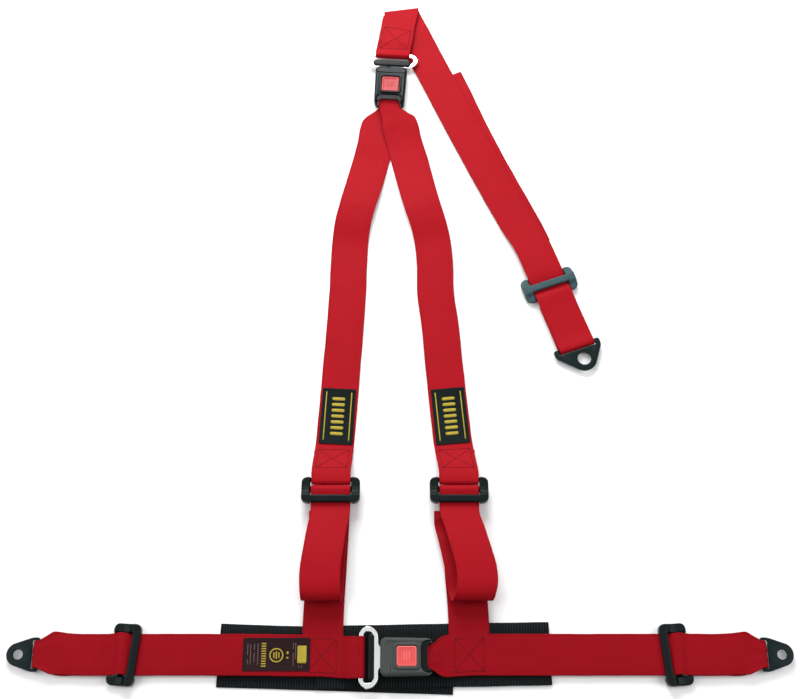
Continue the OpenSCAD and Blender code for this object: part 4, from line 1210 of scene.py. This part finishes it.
def buckles():
    upper = melt(upper_case(), 0.5, 3)
    lower = melt(lower_case(), 0.55, 3)
    button = button_model()
    # The mouth piece is painted shade: black where the case's inside lies in shadow.
    mouth_shade = melt(mouth_painted_shade(), 0.5, 2)
    sets = {
        "lap": (LAP_BUCKLE, 0.0, "right_belt", "left_belt", "grey_shell", GREY_SHELL, PINK, "lap_button"),
        "top": (TOP_BUCKLE, TOP_TURN, "yoke", "rear_belt", "black_shell", BLACK_SHELL, CORAL, "top_button"),
    }
    for name, (origin, turn, body, tongue_body, slot, shell, cap, button_body) in sets.items():
        at = frame_at(origin, turn)
        finish(settle(upper, f"{name}_case_upper", at, shell), body, slot, f"{name}_upper_shell")
        finish(settle(lower, f"{name}_case_lower", at, shell), body, slot, f"{name}_lower_shell")
        finish(settle(button, f"{name}_push_button", at, cap), button_body, "button_plastic",
               f"{name}_button")
        finish(settle(mouth_shade, f"{name}_mouth_painted_shade", at, BLACK_PLASTIC), body, "black_plastic")
        round_bar = lining_model(*LININGS[name])
        lining = settle(round_bar, f"{name}_tongue_lining", at, BLACK_PLASTIC)
        bpy.data.objects.remove(round_bar)
        finish(lining, tongue_body, "black_plastic", f"{name}_tongue_insert")
        tongue = stamped(f"{name}_tongue_steel", tongue_outlines(), TONGUE_T, 0.6, CHROME, at)
        finish(tongue, tongue_body, "polished_steel", f"{name}_tongue")
        for part, metal in (("frame", ZINC), ("latch", ZINC), ("shell_screws", ZINC),
                            ("button_spring", SPRING), ("ejector_spring", SPRING),
                            ("ejector", BLACK_PLASTIC)):
            node = frame["nodes"][f"{name}_{part}"]
            node.data.materials.clear()
            node.data.materials.append(metal)
    for model in (upper, lower, button, mouth_shade):
        bpy.data.objects.remove(model)


# Pads, patches and label -----------------------------------------------------------------------



def share_of(s):
    """How far across the pad a column lies, from -1 to 1."""
    return 2 * s / PAD_W


def pad_webbing(name, x, y, turn, body):
    """A flat tube of ribbed webbing: ribs across it, a firm edge along each side, closed ends."""
    z = middle(f"{name}_lap_pad").z
    half, steps = PAD_W / 2, 4
    columns = [-half, -half + 0.5, -half + 1.6, -half + 2.6] + [-half + 4 + 8.5 * k for k in range(9)]
    columns += [half - 2.6, half - 1.6, half - 0.5, half]
    count = int(PAD_L / RIB * steps)
    verts, uvs, row = [], [], 2 * len(columns) - 2
    for i in range(count + 1):
        along = -PAD_L / 2 + PAD_L * i / count
        wave = 0.5 + 0.5 * math.cos(math.tau * i / steps)
        near_end = min(1.0, (PAD_L / 2 - abs(along)) / 5)
        thick = PAD_T / 2 * (0.45 + 0.55 * wave * near_end)
        ring = []
        for s in columns:
            inset = half - abs(s)
            share = min(1.0, 0.25 + inset / 1.2) if inset < 1.2 else (0.8 if 1.5 < inset < 2.7 else 1.0)
            ring.append((s, thick * share))
        loop = ring + [(s, -t) for s, t in reversed(ring[1:-1])]
        for s, rise in loop:
            sway = 0.4 * noise.noise(Vector((along / 40, 5.0, turn))) * share_of(s)
            tooth = 0.45 * (wave - 0.5) * share_of(s) ** 5
            verts.append((along, s + sway + tooth, rise))
            uvs.append((s, along))
    matrix = frame_at((x, y, z), turn)
    faces = ring_faces(count + 1, row)
    pad = piece(f"{name}_pad_webbing", verts, faces, PAD, matrix, uvs=uvs)
    finish(pad, body, "pad_webbing", f"{name}_lap_pad")
    return pad


def cloth_patch(name, half_x, half_y, thick, matrix, material, corner=1.5):
    """A flat cloth patch with a rolled, overlocked edge."""
    inner = rounded_outline(half_x - 1.6, half_y - 1.6, 0.8, 3)
    rings = [(0.0, 0.0), (0.0, 0.6), (0.4, 1.0), (1.1, 1.0), (1.6, 0.72)]
    layers = [[(x, y, 0.0) for x, y in inner]]
    for inset, share in rings:
        layers.append([(x, y, thick * share) for x, y in
                       rounded_outline(half_x - inset, half_y - inset, max(corner - inset, 0.5), 3)])
    verts, faces = loft(layers)
    return piece(name, verts, faces, material, matrix, uvs=[(x, y) for x, y, _ in verts])


def raised_marks(name, outlines, z_low, z_high, matrix, material):
    """Generic embroidered or printed shapes standing a little above a patch."""
    solids = []
    for outline in outlines:
        cx = sum(p[0] for p in outline) / len(outline)
        cy = sum(p[1] for p in outline) / len(outline)
        shrunk = [(cx + (x - cx) * 0.9, cy + (y - cy) * 0.9) for x, y in outline]
        solids.append(loft([[(x, y, z_low) for x, y in outline],
                            [(x, y, (z_low + z_high) / 2) for x, y in outline],
                            [(x, y, z_high) for x, y in shrunk]]))
    verts, faces = gather(solids)
    return piece(name, verts, faces, material, matrix, uvs=[(x, y) for x, y, _ in verts])


def closed_band(layers):
    """A solid ring: equal loops of points whose last loop joins the first."""
    size, count = len(layers[0]), len(layers)
    verts = [p for layer in layers for p in layer]
    faces = [(i * size + k, i * size + (k + 1) % size, (i + 1) % count * size + (k + 1) % size,
              (i + 1) % count * size + k) for i in range(count) for k in range(size)]
    return verts, faces


def bar_mark(x, y, half_x, half_y, radius=0.5):
    return moved(rounded_outline(half_x, half_y, radius, 3), x, y)


def shoulder_patches():
    for name, body, turn in (("left", "left_yoke", -3.0), ("right", "yoke", 5.2)):
        where = middle(f"{name}_shoulder_patch")
        matrix = frame_at((where.x, where.y, low(f"{name}_shoulder_patch").z + 0.12), turn)
        base = cloth_patch(f"{name}_patch_cloth", 22.0, 38.5, 0.8, matrix, PATCH)
        finish(base, body, "patch_fabric", f"{name}_shoulder_patch")
        marks = [bar_mark(x, 0, 0.7, 33.5) for x in (-16.5, 16.5)]
        marks += [bar_mark(0, y, 8.5, 2.1, 2.0) for y in (-24, -16, -8, 0, 8, 16, 24)]
        lines = raised_marks(f"{name}_patch_embroidery", marks, 0.4, 1.0, matrix, GOLD_THREAD)
        finish(lines, body, "patch_fabric")


def approval_label():
    where = middle("approval_label")
    matrix = frame_at((where.x, where.y, low("approval_label").z + 0.12), 0)
    base = cloth_patch("label_cloth", 41.0, 20.0, 0.55, matrix, LABEL)
    finish(base, "left_belt", "label_fabric", "approval_label")
    gold = [bar_mark(-15.5, y, 2.9, 0.75, 0.3) for y in range(-14, 15, 3)]
    gold += [bar_mark(31, 0, 5.6, 10.5, 1.5), bar_mark(13.5, 2, 1.2, 1.6, 0.6),
             bar_mark(13.5, -4, 1.2, 1.0, 0.5)]
    grey = [bar_mark(x, y, 0.5, half, 0.25) for x, y, half in
            ((-35, 6, 7), (-35, -9, 3), (-31.5, 0, 12), (-27, 9, 4), (-27, -4, 6), (-22.5, 0, 13),
             (20.5, 10, 4), (20.5, -6, 8), (23.2, 4, 10), (31, -14.5, 1.6), (27.6, -14.5, 1.2))]
    profile = ((8.6, 0.3), (8.6, 0.68), (7.9, 0.72), (7.0, 0.68), (7.0, 0.3))
    angles = [math.tau * k / 32 for k in range(32)]
    ring = closed_band([[(r * math.cos(a), -1 + r * math.sin(a), z) for a in angles] for r, z in profile])
    gold += [bar_mark(x, -1, 0.8, half, 0.4) for x, half in ((-3, 3.4), (0, 4.6), (3, 3.4))]
    finish(raised_marks("label_marks_gold", gold, 0.3, 0.68, matrix, GOLD_THREAD), "left_belt",
           "label_fabric")
    finish(raised_marks("label_marks_grey", grey, 0.3, 0.66, matrix, LABEL_GREY), "left_belt",
           "label_fabric")
    finish(piece("label_ring", *ring, GOLD_THREAD, matrix, uvs=[(x, y) for x, y, _ in ring[0]]),
           "left_belt", "label_fabric")


# Seams -----------------------------------------------------------------------------------------

def run_at(band, axis, value):
    """Distance along a belt where its middle line first comes nearest to a coordinate."""
    index = min(range(len(band.frames)), key=lambda i: (round(abs(band.frames[i][0][axis] - value)), i))
    return band.frames[index][4]


def sew(bands):
    left, right = bands["left_lap"], bands["right_lap"]
    for name, band, x_low, x_high in (("left", left, -117, -73), ("right", right, 62, 106)):
        a, b = sorted((run_at(band, 0, x_low), run_at(band, 0, x_high)))
        seam = stitches(f"{name}_lap_stitching", box_cross(band, a + 3, b - 3, 20), RED_THREAD)
        finish(seam, f"{name}_belt", "dark_red_webbing")
    for name, body in (("left", "left_yoke"), ("right", "yoke")):
        band = bands[f"{name}_shoulder"]
        a, b = run_at(band, 1, 262), run_at(band, 1, 234)
        seams = box_cross(band, a, b, 20)
        seam = stitches(f"{name}_shoulder_stitching", seams, RED_THREAD)
        finish(seam, body, "red_webbing")
        tail = bands[f"{name}_tail"]
        seams = [seam_on(tail, (tail.length - inset, -22), (tail.length - inset, 22), WEB_T * 1.9)
                 for inset in (2.5, 9.0)]
        seam = stitches(f"{name}_tail_stitching", seams, RED_THREAD)
        finish(seam, f"{name}_tail", "red_webbing")
    rear = bands["rear"]
    top = run_at(rear, 2, max(s[2] for s in rear.samples))
    seam = stitches("rear_loop_stitching", box_cross(rear, top + 14, top + 50, 20), RED_THREAD)
    finish(seam, "rear_belt", "red_webbing")
    tail = bands["rear_tail"]
    seams = [seam_on(tail, (inset, -22), (inset, 22)) for inset in (2.5, 9.0)]
    finish(stitches("rear_tail_stitching", seams, RED_THREAD), "rear_belt", "red_webbing")


# Camera, light and floor -----------------------------------------------------------------------

CAMERA_TILT = 22.0
CAMERA_REACH = 1.697
CAMERA_LENS = 57.1
TARGET_Y = -0.0502
SKY_LOW, SKY_HIGH = 0.12, 0.8
LIGHTS = (("key", (-0.25, 1.45, 1.15), 1.2, 48), ("left_fill", (-1.6, -0.2, 1.4), 1.2, 15),
          ("right_fill", (1.6, -0.3, 1.4), 1.2, 15))


def stage_set():
    floor = piece("floor", [(-6, -6, 0), (6, -6, 0), (6, 6, 0), (-6, 6, 0)], [(0, 1, 2, 3)],
                  Nodes("floor_white").set(Base_Color=(0.96, 0.96, 0.96, 1), Roughness=0.9))
    floor.location.z = -0.0006
    camera = bpy.data.objects.new("camera", bpy.data.cameras.new("camera"))
    camera.data.lens, camera.data.sensor_width = CAMERA_LENS, 36.0
    tilt = math.radians(CAMERA_TILT)
    camera.location = (0, TARGET_Y - CAMERA_REACH * math.sin(tilt), CAMERA_REACH * math.cos(tilt))
    camera.rotation_euler = (tilt, 0, 0)
    camera.data.clip_start, camera.data.clip_end = 0.05, 50
    bpy.context.scene.collection.objects.link(camera)
    bpy.context.scene.camera = camera
    world = bpy.data.worlds.new("studio")
    world.use_nodes = True
    sky, tree = world.node_tree.nodes["Background"], world.node_tree
    where, split, dome = (tree.nodes.new(f"ShaderNode{kind}")
                          for kind in ("TexCoord", "SeparateXYZ", "MapRange"))
    tree.links.new(where.outputs["Generated"], split.inputs[0])
    tree.links.new(split.outputs["Z"], dome.inputs[0])
    for socket, value in zip(dome.inputs[1:5], (0.45, 1.0, SKY_LOW, SKY_HIGH)):
        socket.default_value = value
    tree.links.new(dome.outputs[0], sky.inputs["Strength"])
    sky.inputs["Color"].default_value = (1, 1, 1, 1)
    bpy.context.scene.world = world
    bpy.context.scene.view_settings.view_transform = "Standard"
    for name, where, size, power in LIGHTS:
        lamp = bpy.data.lights.new(name, "AREA")
        lamp.size, lamp.energy = size, power
        obj = bpy.data.objects.new(name, lamp)
        obj.location = where
        obj.rotation_euler = (Vector((0, 0.1, 0)) - Vector(where)).to_track_quat("-Z", "Y").to_euler()
        bpy.context.scene.collection.objects.link(obj)


# The harness -----------------------------------------------------------------------------------

def harness():
    bands = {
        "left_lap": lap_webbing(-1),
        "right_lap": lap_webbing(1),
        "left_anchor": anchor_webbing(-1),
        "right_anchor": anchor_webbing(1),
        "left_shoulder": left_shoulder(),
        "right_shoulder": right_shoulder(),
        "rear": rear_webbing(),
        "rear_tail": rear_tail(),
        "rear_anchor": rear_anchor_webbing(),
    }
    left_x, right_x = middle("left_shoulder_adjuster").x, middle("right_shoulder_adjuster").x
    lower_webbing("left", left_x, -94)
    lower_webbing("right", right_x, 84)
    bands["left_tail"] = tail_webbing("left", left_x, -98, -90)
    bands["right_tail"] = tail_webbing("right", right_x, 94, 68)
    pad_webbing("left", -78, -4.5, -1.8, "left_pad")
    pad_webbing("right", 40, -0.5, 1.0, "right_pad")
    adjusters()
    anchor_plates()
    buckles()
    shoulder_patches()
    approval_label()
    sew(bands)


stage_set()
harness()
